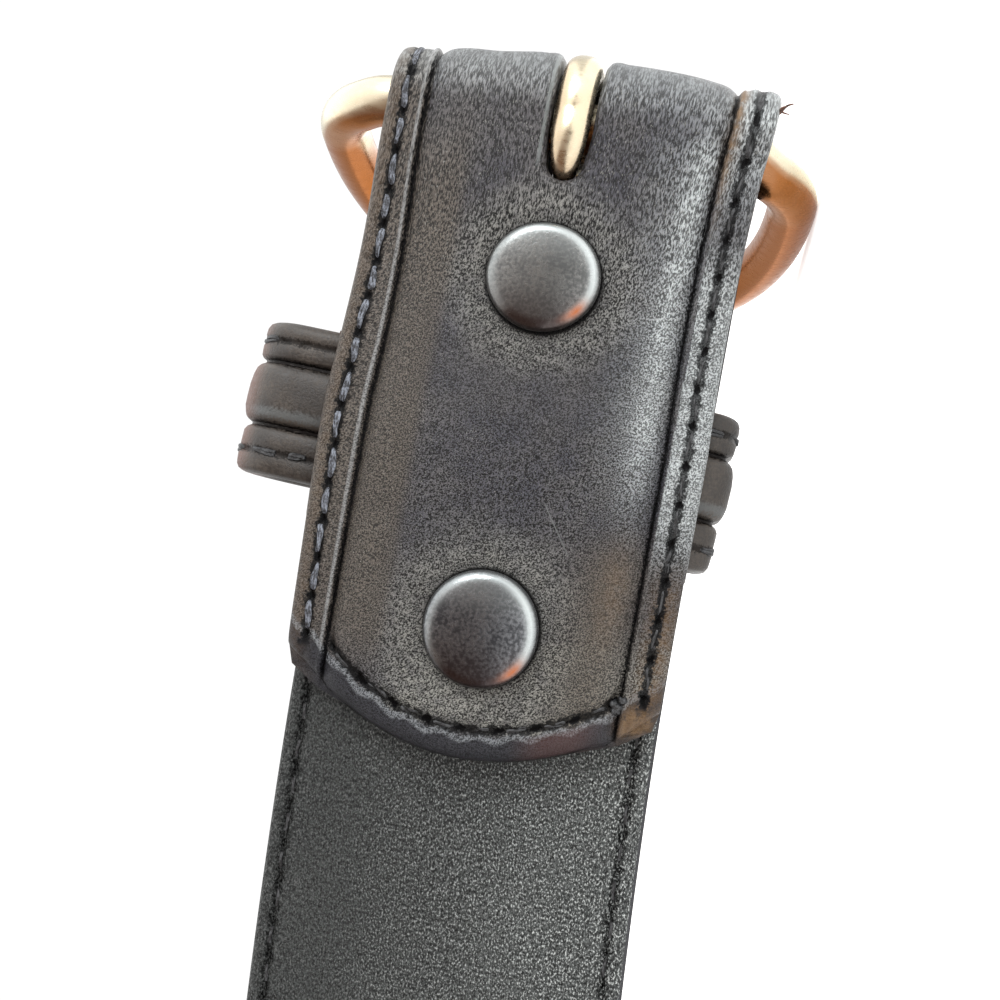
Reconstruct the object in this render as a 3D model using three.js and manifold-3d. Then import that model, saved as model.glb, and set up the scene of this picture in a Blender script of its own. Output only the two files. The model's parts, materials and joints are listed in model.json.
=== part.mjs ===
// Western belt: an open loop of lined leather that stands on its lower edge, with the leather folded
// round the heel bar of a rod buckle, two snaps on the folded flap and one keeper loop.
// Millimetres, +Z up. "Along" is the distance from the crest of the fold, "up" is across the belt,
// and heights over the front face point to the back of the belt, the side that is worn inwards.

import * as THREE from 'three';
import { mergeVertices } from 'three/addons/utils/BufferGeometryUtils.js';
import Module from 'manifold-3d';

// Strap
const strapWidth = 38;
const strapLength = 1213;
const panelThickness = 2.6;
const liningThickness = 1.2;
const liningInset = 0.3;
const liningStart = 17.6;
const clearance = 0.3;

// Plan of the open loop: straight at the buckle, then a ramp into the loop, eased towards the tip
const straightEnd = 112;
const rampEnd = 230;
const easeStart = 1060;
const loopRadius = 200;
const tipRadius = 420;
const loopStep = 15.5;

// The buckle end stands higher than the loop, because the buckle is wider than the belt
const buckleLift = 6.7;
const liftEndAlong = 55;
const liftFallLength = 135;

// Holes and tip
const holeDiameter = 4.8;
const middleHoleAlong = 1067;
const holePitch = 25.4;
const holeCount = 5;
const tipTaper = 27;

// Buckle: a bent rod with a straight heel bar, and a prong on the heel bar
const rodDiameter = 5.2;
const barAlong = 6.4;
const barGap = 0.35;
const frameHalfWidth = 24.2;
const frameBend = 5.2;
const frameDepth = 43;
const frameRoundness = 2.2;
const frameShift = 1.2;
const frameAngle = 78;
const ringRadius = 6.1;
const prongWidth = 3.9;
const prongThickness = 3.1;
const prongOverhang = 2.2;

// Slot in the fold for the prong
const slotWidth = 5.3;
const slotEndBack = 13;
const slotEndFront = 16.8;

// Snaps on the flap
const snapUpperAlong = 23;
const snapLowerAlong = 58.2;
const capRadius = 5.7;
const capHeight = 2;
const seatDepth = 0.3;
const postRadius = 1.9;
const studRadius = 4.5;

// Keeper loop
const keeperAlong = 40.3;
const keeperWidth = 15.5;
const keeperTilt = 2.3;
const keeperReachUp = 26.5;
const keeperReachDown = 19.5;
const keeperFrontRoom = 4.6;

// Half section of the outer leather: inward distance from its edge and thickness over the flesh side
const leatherProfile = [
  { inward: 0, thickness: 0.5 },
  { inward: 0, thickness: 1.2 },
  { inward: 0.5, thickness: 1.6 },
  { inward: 2.2, thickness: 2.0 },
  { inward: 3.9, thickness: 1.8 },
  { inward: 4.3, thickness: 1.5 },
  { inward: 4.9, thickness: 2.2 },
  { inward: 7.5, thickness: 2.5 },
  { inward: 12, thickness: panelThickness },
];
const fleshChamfer = 0.4;

// Run of the folded flap on the back: height of its grain side over the front face, and half width
const flapRun = [
  { along: 9.5, height: 11.0, halfWidth: 19.1 },
  { along: 13.5, height: 10.6, halfWidth: 19.0 },
  { along: 18, height: 10.0, halfWidth: 18.9 },
  { along: 23, height: 9.7, halfWidth: 18.8 },
  { along: 31, height: 10.0, halfWidth: 18.8 },
  { along: 40.3, height: 10.5, halfWidth: 19.1 },
  { along: 49, height: 10.1, halfWidth: 19.4 },
  { along: 58.2, height: 9.5, halfWidth: 19.4 },
  { along: 65, height: 8.7, halfWidth: 19.2 },
  { along: 72, height: 7.9, halfWidth: 19.0 },
];

// End of the flap: two clipped corners and a shallow curve between them
const flapEnd = {
  lowerCorner: { along: 61.4, up: -19.8 },
  lowerClip: { along: 66.0, up: -15.2 },
  curveControl: { along: 75.1, up: -0.6 },
  upperClip: { along: 66.8, up: 14.4 },
  upperCorner: { along: 63.0, up: 19.8 },
};

// Section of the keeper: place along the belt, from its upper edge, and thickness
const keeperProfile = [
  { place: 0, thickness: 0.4 },
  { place: 0, thickness: 1.5 },
  { place: 0.5, thickness: 1.9 },
  { place: 3.7, thickness: 1.9 },
  { place: 4.1, thickness: 1.4 },
  { place: 4.7, thickness: 2.1 },
  { place: 7.3, thickness: 2.4 },
  { place: 9.9, thickness: 2.1 },
  { place: 10.5, thickness: 1.4 },
  { place: 10.9, thickness: 1.9 },
  { place: 15, thickness: 1.9 },
  { place: 15.5, thickness: 1.5 },
  { place: 15.5, thickness: 0.4 },
  { place: 15.1, thickness: 0 },
  { place: 0.4, thickness: 0 },
];

const halfWidth = strapWidth / 2;
const rodRadius = rodDiameter / 2;
const foldSide = rodRadius + barGap;
const foldReach = barAlong - panelThickness;
const frontFace = foldSide + panelThickness;
const liningFront = panelThickness + clearance;
const liningBack = liningFront + liningThickness;
const centreAtBuckle = halfWidth + buckleLift;

const wasm = await Module();
wasm.setup();

// Bodies

// Turns a closed body's faces outwards if its signed volume is negative
function facesOut(geometry) {
  const place = geometry.getAttribute('position');
  const order = geometry.getIndex();
  const [a, b, c] = [new THREE.Vector3(), new THREE.Vector3(), new THREE.Vector3()];
  let volume = 0;
  for (let i = 0; i < order.count; i += 3) {
    a.fromBufferAttribute(place, order.getX(i));
    b.fromBufferAttribute(place, order.getX(i + 1));
    c.fromBufferAttribute(place, order.getX(i + 2));
    volume += a.dot(b.cross(c));
  }
  if (volume < 0) {
    order.array.reverse();
  }
  return geometry;
}

// Skins a row of rings with equal point counts. An open row is capped with the section's outline,
// a joined row runs back into its first ring.
function skin(rings, outline, joined) {
  const count = rings[0].length;
  const spans = joined ? rings.length : rings.length - 1;
  const faces = [];
  for (let i = 0; i < spans; i += 1) {
    const near = i * count;
    const far = ((i + 1) % rings.length) * count;
    for (let j = 0; j < count; j += 1) {
      const k = (j + 1) % count;
      faces.push(near + j, near + k, far + k, near + j, far + k, far + j);
    }
  }
  if (!joined) {
    const last = (rings.length - 1) * count;
    for (const face of THREE.ShapeUtils.triangulateShape(outline, [])) {
      const corners = face.map((index) => outline[index]);
      const turned = THREE.ShapeUtils.area(corners) * THREE.ShapeUtils.area(outline) < 0;
      const [p, q, r] = turned ? [face[0], face[2], face[1]] : face;
      faces.push(p, r, q, last + p, last + q, last + r);
    }
  }
  const geometry = new THREE.BufferGeometry().setFromPoints(rings.flat());
  geometry.setIndex(faces);
  return facesOut(geometry);
}

function toSolid(geometry) {
  const bare = geometry.clone();
  bare.deleteAttribute('normal');
  bare.deleteAttribute('uv');
  const welded = mergeVertices(bare, 1e-4);
  return new wasm.Manifold(new wasm.Mesh({
    numProp: 3,
    vertProperties: new Float32Array(welded.getAttribute('position').array),
    triVerts: new Uint32Array(welded.getIndex().array),
  }));
}

// Takes each cutter away from the body in turn
function cutAway(geometry, cutters) {
  let body = toSolid(geometry);
  for (const cutter of cutters) {
    body = body.subtract(toSolid(cutter));
  }
  const mesh = body.getMesh();
  const result = new THREE.BufferGeometry();
  result.setAttribute('position', new THREE.BufferAttribute(mesh.vertProperties, 3));
  result.setIndex(new THREE.BufferAttribute(mesh.triVerts, 1));
  return result;
}

// A prism of a flat shape, drawn in a place's first two axes and running along its third
function prism(shape, place, from, to) {
  const geometry = new THREE.ExtrudeGeometry(shape, {
    depth: to - from,
    bevelEnabled: false,
    curveSegments: 14,
  });
  return geometry.translate(0, 0, from).applyMatrix4(place);
}

// A turned body whose axis is a place's third axis
function turned(profile, sides, place) {
  const points = profile.map(({ radius, height }) => new THREE.Vector2(radius, height));
  return new THREE.LatheGeometry(points, sides).rotateX(Math.PI / 2).applyMatrix4(place);
}

function drill(radius, place, from, to) {
  const geometry = new THREE.CylinderGeometry(radius, radius, to - from, 16);
  return geometry.rotateX(Math.PI / 2).translate(0, 0, (from + to) / 2).applyMatrix4(place);
}

// Course of the belt in plan

function curvature(along) {
  const full = 1 / loopRadius;
  if (along < straightEnd) {
    return 0;
  }
  if (along < rampEnd) {
    return full * (along - straightEnd) / (rampEnd - straightEnd);
  }
  if (along < easeStart) {
    return full;
  }
  const share = (along - easeStart) / (strapLength - easeStart);
  return full + (1 / tipRadius - full) * share;
}

// Flesh line of the strap, walked in millimetre steps from the bar to the tip
function walkStrap() {
  const steps = [];
  const point = new THREE.Vector2(0, foldSide);
  let heading = Math.PI;
  for (let along = barAlong; along <= strapLength + 1; along += 1) {
    steps.push({ point: point.clone(), heading });
    const bend = curvature(along + 0.5);
    const middle = heading + bend / 2;
    point.add(new THREE.Vector2(Math.cos(middle), Math.sin(middle)));
    heading += bend;
  }
  return steps;
}

const strapWalk = walkStrap();

// Height of the belt's middle line over the floor: high at the buckle, then down to the loop
function middleHeight(along) {
  return halfWidth + buckleLift * (1 - THREE.MathUtils.smoothstep(along, liftEndAlong,
    liftEndAlong + liftFallLength));
}

// A station has its flesh point, its outward (grain side) normal, its middle height and half width
function strapStation(along) {
  const step = Math.min(along - barAlong, strapWalk.length - 1.001);
  const before = strapWalk[Math.floor(step)];
  const after = strapWalk[Math.floor(step) + 1];
  const share = step - Math.floor(step);
  const heading = THREE.MathUtils.lerp(before.heading, after.heading, share);
  return {
    point: before.point.clone().lerp(after.point, share),
    normal: new THREE.Vector2(Math.sin(heading), -Math.cos(heading)),
    middle: middleHeight(along),
    half: halfWidth,
  };
}

const foldTop = { along: barAlong, height: frontFace + foldSide + panelThickness, halfWidth: 19.1 };
const flapCurve = new THREE.CatmullRomCurve3(
  [{ ...foldTop, along: barAlong - 3 }, foldTop, ...flapRun]
    .map(({ along, height, halfWidth: half }) => new THREE.Vector3(along, height, half)),
);

// The flap's height and half width at a distance along, found by halving on the run's curve
function flapAt(along) {
  let [low, high] = [0, 1];
  for (let i = 0; i < 30; i += 1) {
    const middle = (low + high) / 2;
    if (flapCurve.getPoint(middle).x < along) {
      low = middle;
    } else {
      high = middle;
    }
  }
  return flapCurve.getPoint(low);
}

function flapStation(along) {
  const here = flapAt(along);
  const ahead = flapAt(along + 0.2);
  const slope = (ahead.y - here.y) / 0.2;
  const fleshY = frontFace - (here.y - panelThickness);
  return {
    point: new THREE.Vector2(barAlong - along, fleshY),
    normal: new THREE.Vector2(slope, -1).normalize(),
    middle: centreAtBuckle,
    half: here.z,
  };
}

// The fold is half an ellipse about the bar, from the back side over the crest to the front side
function foldStation(angle) {
  return {
    point: new THREE.Vector2(foldReach * Math.cos(angle), foldSide * Math.sin(angle)),
    normal: new THREE.Vector2(foldSide * Math.cos(angle), foldReach * Math.sin(angle)).normalize(),
    middle: centreAtBuckle,
    half: halfWidth,
  };
}

// A place on the belt as a matrix: axes along, up and out of the grain side
function placeAt(station, lift) {
  const out = new THREE.Vector3(station.normal.x, station.normal.y, 0);
  const up = new THREE.Vector3(0, 0, 1);
  const ahead = new THREE.Vector3().crossVectors(up, out);
  const matrix = new THREE.Matrix4().makeBasis(ahead, up, out);
  const { x, y } = station.point;
  return matrix.setPosition(x + out.x * lift, y + out.y * lift, station.middle);
}

function ringAt(station, section, spread) {
  return section.map((corner) => {
    const x = station.point.x + station.normal.x * corner.y;
    const y = station.point.y + station.normal.y * corner.y;
    return new THREE.Vector3(x, y, station.middle + corner.x * spread);
  });
}

function stepsBetween(from, to, step) {
  const count = Math.ceil((to - from) / step);
  return Array.from({ length: count + 1 }, (_, i) => from + (to - from) * i / count);
}

// Outer leather

function leatherSection() {
  const grain = leatherProfile.map(({ inward, thickness }) => (
    new THREE.Vector2(halfWidth - inward, thickness)));
  const mirrored = grain.map((corner) => new THREE.Vector2(-corner.x, corner.y)).reverse();
  const flesh = halfWidth - fleshChamfer;
  return [new THREE.Vector2(flesh, 0), ...grain, ...mirrored, new THREE.Vector2(-flesh, 0)];
}

// The shape beyond the tip: a rounded point, taken away from both layers
function beyondTip() {
  const outside = new THREE.Shape();
  outside.moveTo(-tipTaper, halfWidth + 3);
  outside.lineTo(-tipTaper, halfWidth);
  outside.bezierCurveTo(-tipTaper * 0.45, halfWidth, -0.6, halfWidth * 0.62, 0, 0);
  outside.bezierCurveTo(-0.6, -halfWidth * 0.62, -tipTaper * 0.45, -halfWidth, -tipTaper, -halfWidth);
  outside.lineTo(-tipTaper, -halfWidth - 3);
  outside.lineTo(tipTaper, -halfWidth - 3);
  outside.lineTo(tipTaper, halfWidth + 3);
  return prism(outside, tipPlace(), -10, 10);
}

// The place of the tip's end, squared to the strap a little way before it
function tipPlace() {
  const before = 12;
  const place = placeAt(strapStation(strapLength - before), 0);
  return place.multiply(new THREE.Matrix4().makeTranslation(before, 0, 0));
}

function holeDrills() {
  return Array.from({ length: holeCount }, (_, i) => {
    const along = middleHoleAlong + (i - (holeCount - 1) / 2) * holePitch;
    return drill(holeDiameter / 2, placeAt(strapStation(along), 0), -6, 6);
  });
}

// One side of the slot, open at the crest and round at its far end
function slotCutter(end, out) {
  const radius = slotWidth / 2;
  const reach = end - barAlong;
  const shape = new THREE.Shape();
  shape.moveTo(-12, -radius);
  shape.lineTo(reach - radius, -radius);
  shape.absarc(reach - radius, 0, radius, -Math.PI / 2, Math.PI / 2);
  shape.lineTo(-12, radius);
  const place = new THREE.Matrix4().makeBasis(
    new THREE.Vector3(-1, 0, 0),
    new THREE.Vector3(0, 0, out),
    new THREE.Vector3(0, out, 0),
  ).setPosition(0, 0, centreAtBuckle);
  return prism(shape, place, -0.5, 12);
}

// The shape beyond the flap's end, on the back of the strap only
function beyondFlap() {
  const far = barAlong - 110;
  const at = ({ along, up }) => [barAlong - along, up];
  const outside = new THREE.Shape();
  outside.moveTo(far, -30);
  outside.lineTo(barAlong - flapEnd.lowerCorner.along, -30);
  outside.lineTo(...at(flapEnd.lowerCorner));
  outside.lineTo(...at(flapEnd.lowerClip));
  outside.quadraticCurveTo(...at(flapEnd.curveControl), ...at(flapEnd.upperClip));
  outside.lineTo(...at(flapEnd.upperCorner));
  outside.lineTo(barAlong - flapEnd.upperCorner.along, 30);
  outside.lineTo(far, 30);
  const place = new THREE.Matrix4().makeBasis(
    new THREE.Vector3(1, 0, 0),
    new THREE.Vector3(0, 0, 1),
    new THREE.Vector3(0, -1, 0),
  ).setPosition(0, 0, centreAtBuckle);
  return prism(outside, place, -2.2, 14);
}

function outerLeather() {
  const section = leatherSection();
  const flapSteps = stepsBetween(barAlong + 2.2, 71.8, 5.4).reverse();
  const foldAngles = stepsBetween(-Math.PI / 2, Math.PI / 2, Math.PI / 8);
  const strapSteps = [24, 48, ...stepsBetween(62, strapLength, loopStep)];
  const stations = [
    ...flapSteps.map(flapStation),
    ...foldAngles.map(foldStation),
    ...strapSteps.map(strapStation),
  ];
  const rings = stations.map((station) => ringAt(station, section, station.half / halfWidth));
  const cutters = [
    beyondFlap(),
    beyondTip(),
    slotCutter(slotEndBack, -1),
    slotCutter(slotEndFront, 1),
    ...holeDrills(),
  ];
  for (const along of [snapUpperAlong, snapLowerAlong]) {
    const place = snapPlace(along);
    cutters.push(drill(capRadius + clearance, place, -seatDepth, 4));
    cutters.push(drill(postRadius + clearance, place, -4, 4));
  }
  return cutAway(skin(rings, section, false), cutters);
}

// Lining

function liningGeometry() {
  const half = halfWidth - liningInset;
  const front = -clearance;
  const back = -clearance - liningThickness;
  const round = 0.3;
  const section = [
    new THREE.Vector2(half, front),
    new THREE.Vector2(half, back + round),
    new THREE.Vector2(half - round, back),
    new THREE.Vector2(round - half, back),
    new THREE.Vector2(-half, back + round),
    new THREE.Vector2(-half, front),
  ];
  const steps = [liningStart, 46, ...stepsBetween(62, strapLength, loopStep)];
  const rings = steps.map((along) => ringAt(strapStation(along), section, 1));
  return cutAway(skin(rings, section, false), [beyondTip(), ...holeDrills()]);
}

// Snaps: a domed cap whose post goes through the flap, and a stud on the lining below it

// Place of a snap on the flap, its third axis out of the grain side, at the panel's surface
function snapPlace(along) {
  return placeAt(flapStation(along), panelThickness);
}

function snapCap(along) {
  const postEnd = -panelThickness - 0.9;
  return turned([
    { radius: 0, height: postEnd },
    { radius: postRadius, height: postEnd },
    { radius: postRadius, height: 0 },
    { radius: capRadius - 0.5, height: 0 },
    { radius: capRadius - 0.1, height: 0.25 },
    { radius: capRadius, height: 0.7 },
    { radius: capRadius - 0.25, height: 1.2 },
    { radius: capRadius - 0.9, height: 1.6 },
    { radius: capRadius - 2.6, height: 1.88 },
    { radius: 0, height: capHeight },
  ], 24, snapPlace(along));
}

function snapStud(along) {
  const fleshHeight = (place) => flapAt(place).y - panelThickness;
  const nearest = Math.min(fleshHeight(along - studRadius), fleshHeight(along + studRadius));
  const bottom = liningBack + clearance;
  const top = nearest - clearance - bottom;
  const place = new THREE.Matrix4().makeBasis(
    new THREE.Vector3(1, 0, 0),
    new THREE.Vector3(0, 0, 1),
    new THREE.Vector3(0, -1, 0),
  ).setPosition(barAlong - along, frontFace - bottom, middleHeight(along));
  return turned([
    { radius: 0, height: 0 },
    { radius: studRadius, height: 0 },
    { radius: studRadius, height: top - 0.5 },
    { radius: studRadius - 0.5, height: top },
    { radius: postRadius + 0.9, height: top },
    { radius: postRadius + 0.9, height: top - 1.2 },
    { radius: 0, height: top - 1.2 },
  ], 16, place);
}

// Keeper

// Corners of the keeper's inner line, each with its arc, seen along the belt from the buckle
function keeperLine() {
  const back = frontFace - (liningBack + clearance);
  const front = frontFace + keeperFrontRoom;
  const corners = [
    { up: keeperReachUp, out: back, radius: 3, from: -90 },
    { up: keeperReachUp, out: front, radius: 3.5, from: 0 },
    { up: -keeperReachDown, out: front, radius: 2.5, from: 90 },
    { up: -keeperReachDown, out: back, radius: 0.9, from: 180 },
  ];
  return corners.flatMap(({ up, out, radius, from }) => {
    const middle = new THREE.Vector2(up - Math.sign(up) * radius, out);
    middle.y += out === back ? radius : -radius;
    return stepsBetween(from, from + 90, 15).map((degrees) => {
      const angle = THREE.MathUtils.degToRad(degrees);
      const normal = new THREE.Vector2(Math.cos(angle), Math.sin(angle));
      return { point: middle.clone().addScaledVector(normal, radius), normal };
    });
  });
}

function keeperGeometry() {
  const rings = keeperLine().map(({ point, normal }) => (
    keeperProfile.map(({ place, thickness }) => new THREE.Vector3(
      keeperWidth / 2 - place,
      point.y + normal.y * thickness,
      point.x + normal.x * thickness,
    ))));
  return skin(rings, null, true)
    .rotateY(THREE.MathUtils.degToRad(keeperTilt))
    .translate(barAlong - keeperAlong, 0, centreAtBuckle);
}

// Buckle: drawn with its depth on the first axis, its heel bar on the second, which runs down, and
// the prong's side on the third

function framePlace() {
  const turn = THREE.MathUtils.degToRad(frameAngle);
  const depth = new THREE.Vector3(-Math.cos(turn), Math.sin(turn), 0);
  const down = new THREE.Vector3(0, 0, -1);
  const face = new THREE.Vector3().crossVectors(depth, down);
  return new THREE.Matrix4().makeBasis(depth, down, face).setPosition(0, 0, centreAtBuckle);
}

// Half of the rod's middle line: straight heel bar, a tight bend and an arm that rounds into the end
function frameHalf() {
  const bends = stepsBetween(0, Math.PI / 2, Math.PI / 10).map((angle) => new THREE.Vector3(
    frameBend * (1 - Math.cos(angle)),
    frameHalfWidth - frameBend * (1 - Math.sin(angle)),
    0,
  ));
  const arms = stepsBetween(0, Math.PI / 2, Math.PI / 24).slice(1).map((angle) => new THREE.Vector3(
    frameBend + (frameDepth - frameBend) * Math.sin(angle) ** (2 / frameRoundness),
    frameHalfWidth * Math.cos(angle) ** (2 / frameRoundness),
    0,
  ));
  return [...bends, ...arms];
}

function frameGeometry() {
  const half = frameHalf();
  const other = half.slice(0, -1).reverse().map(({ x, y, z }) => new THREE.Vector3(x, -y, z));
  const heel = [-0.5, 0, 0.5].map((share) => (
    new THREE.Vector3(0, share * (frameHalfWidth - frameBend), 0)));
  const curve = new THREE.CatmullRomCurve3([...heel, ...half, ...other], true);
  const tube = new THREE.TubeGeometry(curve, 84, rodRadius, 10, true);
  tube.deleteAttribute('normal');
  tube.deleteAttribute('uv');
  return mergeVertices(tube, 1e-4)
    .translate(0, -frameShift, 0)
    .applyMatrix4(framePlace());
}

// Prong, drawn from its side: a ring round the heel bar and a cranked shank to the end of the frame
function prongGeometry() {
  const rootTop = 4.2;
  const rootBottom = rootTop - prongThickness;
  const rest = rodRadius + clearance;
  const end = frameDepth + rodRadius + prongOverhang;
  const startAngle = Math.asin(rootTop / ringRadius);
  const endAngle = Math.asin(rootBottom / ringRadius);
  const side = new THREE.Shape();
  side.absarc(0, 0, ringRadius, startAngle, endAngle + 2 * Math.PI, false);
  side.lineTo(11.5, rootBottom);
  side.lineTo(17, rest);
  side.lineTo(end - 3, rest);
  side.quadraticCurveTo(end, rest, end, rest + 0.8);
  side.quadraticCurveTo(end - 0.4, rest + prongThickness - 0.6, end - 5, rest + prongThickness);
  side.lineTo(17.5, rest + prongThickness);
  side.lineTo(12, rootTop);
  const eye = new THREE.Path();
  eye.absarc(0, 0, rodRadius + barGap, 0, 2 * Math.PI, true);
  side.holes.push(eye);
  const place = framePlace().multiply(new THREE.Matrix4().makeRotationX(Math.PI / 2));
  return prism(side, place, -prongWidth / 2, prongWidth / 2);
}

// The object

const leatherFinish = { color: 0x17171a, roughness: 0.42, metalness: 0 };
const liningFinish = { color: 0x24261f, roughness: 0.85, metalness: 0 };
const nickelFinish = { color: 0xc9c0b2, roughness: 0.22, metalness: 1 };
const capFinish = { color: 0x202326, roughness: 0.45, metalness: 0.2 };
const studFinish = { color: 0x8f8a80, roughness: 0.4, metalness: 1 };

const belt = new THREE.Group();

function addPiece(name, geometry, finish) {
  const mesh = new THREE.Mesh(geometry, new THREE.MeshStandardMaterial(finish));
  mesh.name = name;
  belt.add(mesh);
}

addPiece('outer_leather', outerLeather(), leatherFinish);
addPiece('lining', liningGeometry(), liningFinish);
addPiece('keeper_loop', keeperGeometry(), leatherFinish);
addPiece('buckle_frame', frameGeometry(), nickelFinish);
addPiece('buckle_tongue', prongGeometry(), nickelFinish);
addPiece('snap_cap_upper', snapCap(snapUpperAlong), capFinish);
addPiece('snap_cap_lower', snapCap(snapLowerAlong), capFinish);
addPiece('snap_stud_upper', snapStud(snapUpperAlong), studFinish);
addPiece('snap_stud_lower', snapStud(snapLowerAlong), studFinish);

// Origin on the floor under the middle of the whole belt
const box = new THREE.Box3().setFromObject(belt);
const middle = box.getCenter(new THREE.Vector3());
belt.position.set(-middle.x, -middle.y, -box.min.z);

export default belt;
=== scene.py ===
import json

import bpy
import numpy as np
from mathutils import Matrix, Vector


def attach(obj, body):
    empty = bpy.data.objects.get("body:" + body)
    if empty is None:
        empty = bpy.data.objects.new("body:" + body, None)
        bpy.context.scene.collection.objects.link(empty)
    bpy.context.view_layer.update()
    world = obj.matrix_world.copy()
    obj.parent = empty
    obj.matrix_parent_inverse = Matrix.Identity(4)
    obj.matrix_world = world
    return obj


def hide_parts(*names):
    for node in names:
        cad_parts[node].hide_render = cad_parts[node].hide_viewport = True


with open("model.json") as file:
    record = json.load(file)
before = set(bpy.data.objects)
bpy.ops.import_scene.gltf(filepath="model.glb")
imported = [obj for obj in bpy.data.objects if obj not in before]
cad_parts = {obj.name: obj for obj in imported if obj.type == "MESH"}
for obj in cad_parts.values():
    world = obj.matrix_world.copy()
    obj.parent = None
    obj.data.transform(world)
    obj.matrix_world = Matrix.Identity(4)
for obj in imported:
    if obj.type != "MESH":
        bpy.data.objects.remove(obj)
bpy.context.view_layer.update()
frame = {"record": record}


# Camera, floor and light
# The camera stands inside the open loop, a hand's width from the folded flap, and looks at the back
# of the buckle end. The floor is plain and pale, and the light is soft.

scene = bpy.context.scene
scene.view_settings.view_transform = "Standard"
scene.view_settings.look = "None"

camera_lens = bpy.data.cameras.new("camera")
camera_lens.lens = 54
camera_lens.sensor_width = 36
camera_lens.clip_start = 0.01
camera = bpy.data.objects.new("camera", camera_lens)
camera.location = (0.11761, 0.02798, 0.00894)
camera.rotation_euler = (2.14578, 1.35752, 0.51356)
scene.collection.objects.link(camera)
scene.camera = camera

world = bpy.data.worlds.new("pale_room")
world.use_nodes = True
scene.world = world


def far_lamp(name, way, strength, spread, colour):
    """A far, soft lamp that shines from a direction over a wide angle."""
    lamp = bpy.data.lights.new(name, "SUN")
    lamp.energy = strength
    lamp.angle = float(np.radians(spread))
    lamp.color = colour
    sun = bpy.data.objects.new(name, lamp)
    sun.rotation_euler = Vector(way).to_track_quat("Z", "Y").to_euler()
    scene.collection.objects.link(sun)


far_lamp("overhead_light", (0.36, -0.20, 0.91), 2.2, 110, (1.0, 1.0, 1.0))
far_lamp("crest_light", (0.64, -0.70, 0.31), 1.3, 30, (0.97, 0.99, 1.0))


class Shade:
    """A value in a shader's node tree. Sums written with it add the nodes that work them out."""

    def __init__(self, socket):
        self.socket, self.tree = socket, socket.id_data

    def math(self, operation, *others):
        return node(self.tree, "Math", 0, dict(enumerate((self, *others))), operation=operation)

    def vector(self, operation, other, output="Vector"):
        return node(self.tree, "VectorMath", output, {0: self, 1: other}, operation=operation)

    def __add__(self, other):
        return self.math("ADD", other)

    def __sub__(self, other):
        return self.math("SUBTRACT", other)

    def __rsub__(self, other):
        return node(self.tree, "Math", 0, {0: other, 1: self}, operation="SUBTRACT")

    def __mul__(self, other):
        return self.math("MULTIPLY", other)

    def most(self, other):
        """The greater of two values."""
        return self.math("MAXIMUM", other)

    def away(self, middle):
        """Distance from a middle value."""
        return (self - middle).math("ABSOLUTE")

    def remap(self, low, high, to_low=0.0, to_high=1.0):
        """The value carried smoothly from one span to another."""
        spans = {"Value": self, "From Min": low, "From Max": high, "To Min": to_low, "To Max": to_high}
        return node(self.tree, "MapRange", "Result", spans, interpolation_type="SMOOTHSTEP")

    def mix(self, first, second):
        """Two colours mixed by this share."""
        return node(self.tree, "Mix", 2, {0: self, 6: first, 7: second}, data_type="RGBA")

    def tint(self, colour):
        """A colour made darker or lighter by this share."""
        return node(self.tree, "VectorMath", "Vector", {0: colour, "Scale": self}, operation="SCALE")

    def ramp(self, *stops):
        """The colour at this value between coloured stops."""
        made = node(self.tree, "ValToRGB", "Color", {"Fac": self})
        for stop, (position, colour) in zip(made.socket.node.color_ramp.elements, stops):
            stop.position, stop.color = position, colour
        return made

    def parts(self):
        """The three parts of a place or field."""
        first = node(self.tree, "SeparateXYZ", 0, {"Vector": self})
        return [Shade(socket) for socket in first.socket.node.outputs]

    def bump(self, strength, depth):
        """The surface's direction with this height, its depth in metres."""
        height = {"Strength": strength, "Distance": depth, "Height": self}
        return node(self.tree, "Bump", "Normal", height)


def feed(made, inputs):
    """Links a node's inputs where a value is given for them, and sets plain numbers on them."""
    for name, value in inputs.items():
        if isinstance(value, Shade):
            value.tree.links.new(value.socket, made.inputs[name])
        else:
            made.inputs[name].default_value = value


def node(tree, kind, output, inputs=None, **settings):
    """The value that a new shader node gives."""
    made = tree.nodes.new("ShaderNode" + kind)
    for name, value in settings.items():
        setattr(made, name, value)
    feed(made, inputs or {})
    return Shade(made.outputs[output])


def new_finish(name, values):
    """A material with its values set on the shader's own sockets, its node tree and its shader."""
    finish = bpy.data.materials.new(name)
    finish.use_nodes = True
    shader = finish.node_tree.nodes["Principled BSDF"]
    feed(shader, values)
    return finish, finish.node_tree, shader


room_tree = world.node_tree
low_side = node(room_tree, "TexCoord", "Generated").vector("DOT_PRODUCT", (-0.66, -0.75, 0.0), "Value")
sky = low_side.ramp((0.0, (1.0, 1.0, 1.0, 1)), (0.80, (0.30, 0.19, 0.135, 1)))
feed(room_tree.nodes["Background"], {"Color": sky, "Strength": 1.05})

floor_finish, tree, shader = new_finish(
    "floor_paper", {"Roughness": 0.8, "Emission Color": (1, 1, 1, 1), "Emission Strength": 0.6})
paper = {"Vector": node(tree, "TexCoord", "Object"), "Scale": 900.0, "Detail": 3.0}
paper = node(tree, "TexNoise", "Fac", paper)
tone = paper.ramp((0.0, (0.90, 0.90, 0.895, 1)), (1.0, (0.94, 0.94, 0.935, 1)))
feed(shader, {"Base Color": tone})

floor_mesh = bpy.data.meshes.new("floor")
floor_mesh.from_pydata([(-6, -6, 0), (6, -6, 0), (6, 6, 0), (-6, 6, 0)], [], [(0, 1, 2, 3)])
floor_mesh.materials.append(floor_finish)
floor = bpy.data.objects.new("floor", floor_mesh)
scene.collection.objects.link(floor)


# Outer leather
# One strip of black grain leather, 38 mm wide, with a raised padded panel between two stitched
# edge bands. It runs from the flap's end over the buckle's bar and round to the punched tip.

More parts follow.
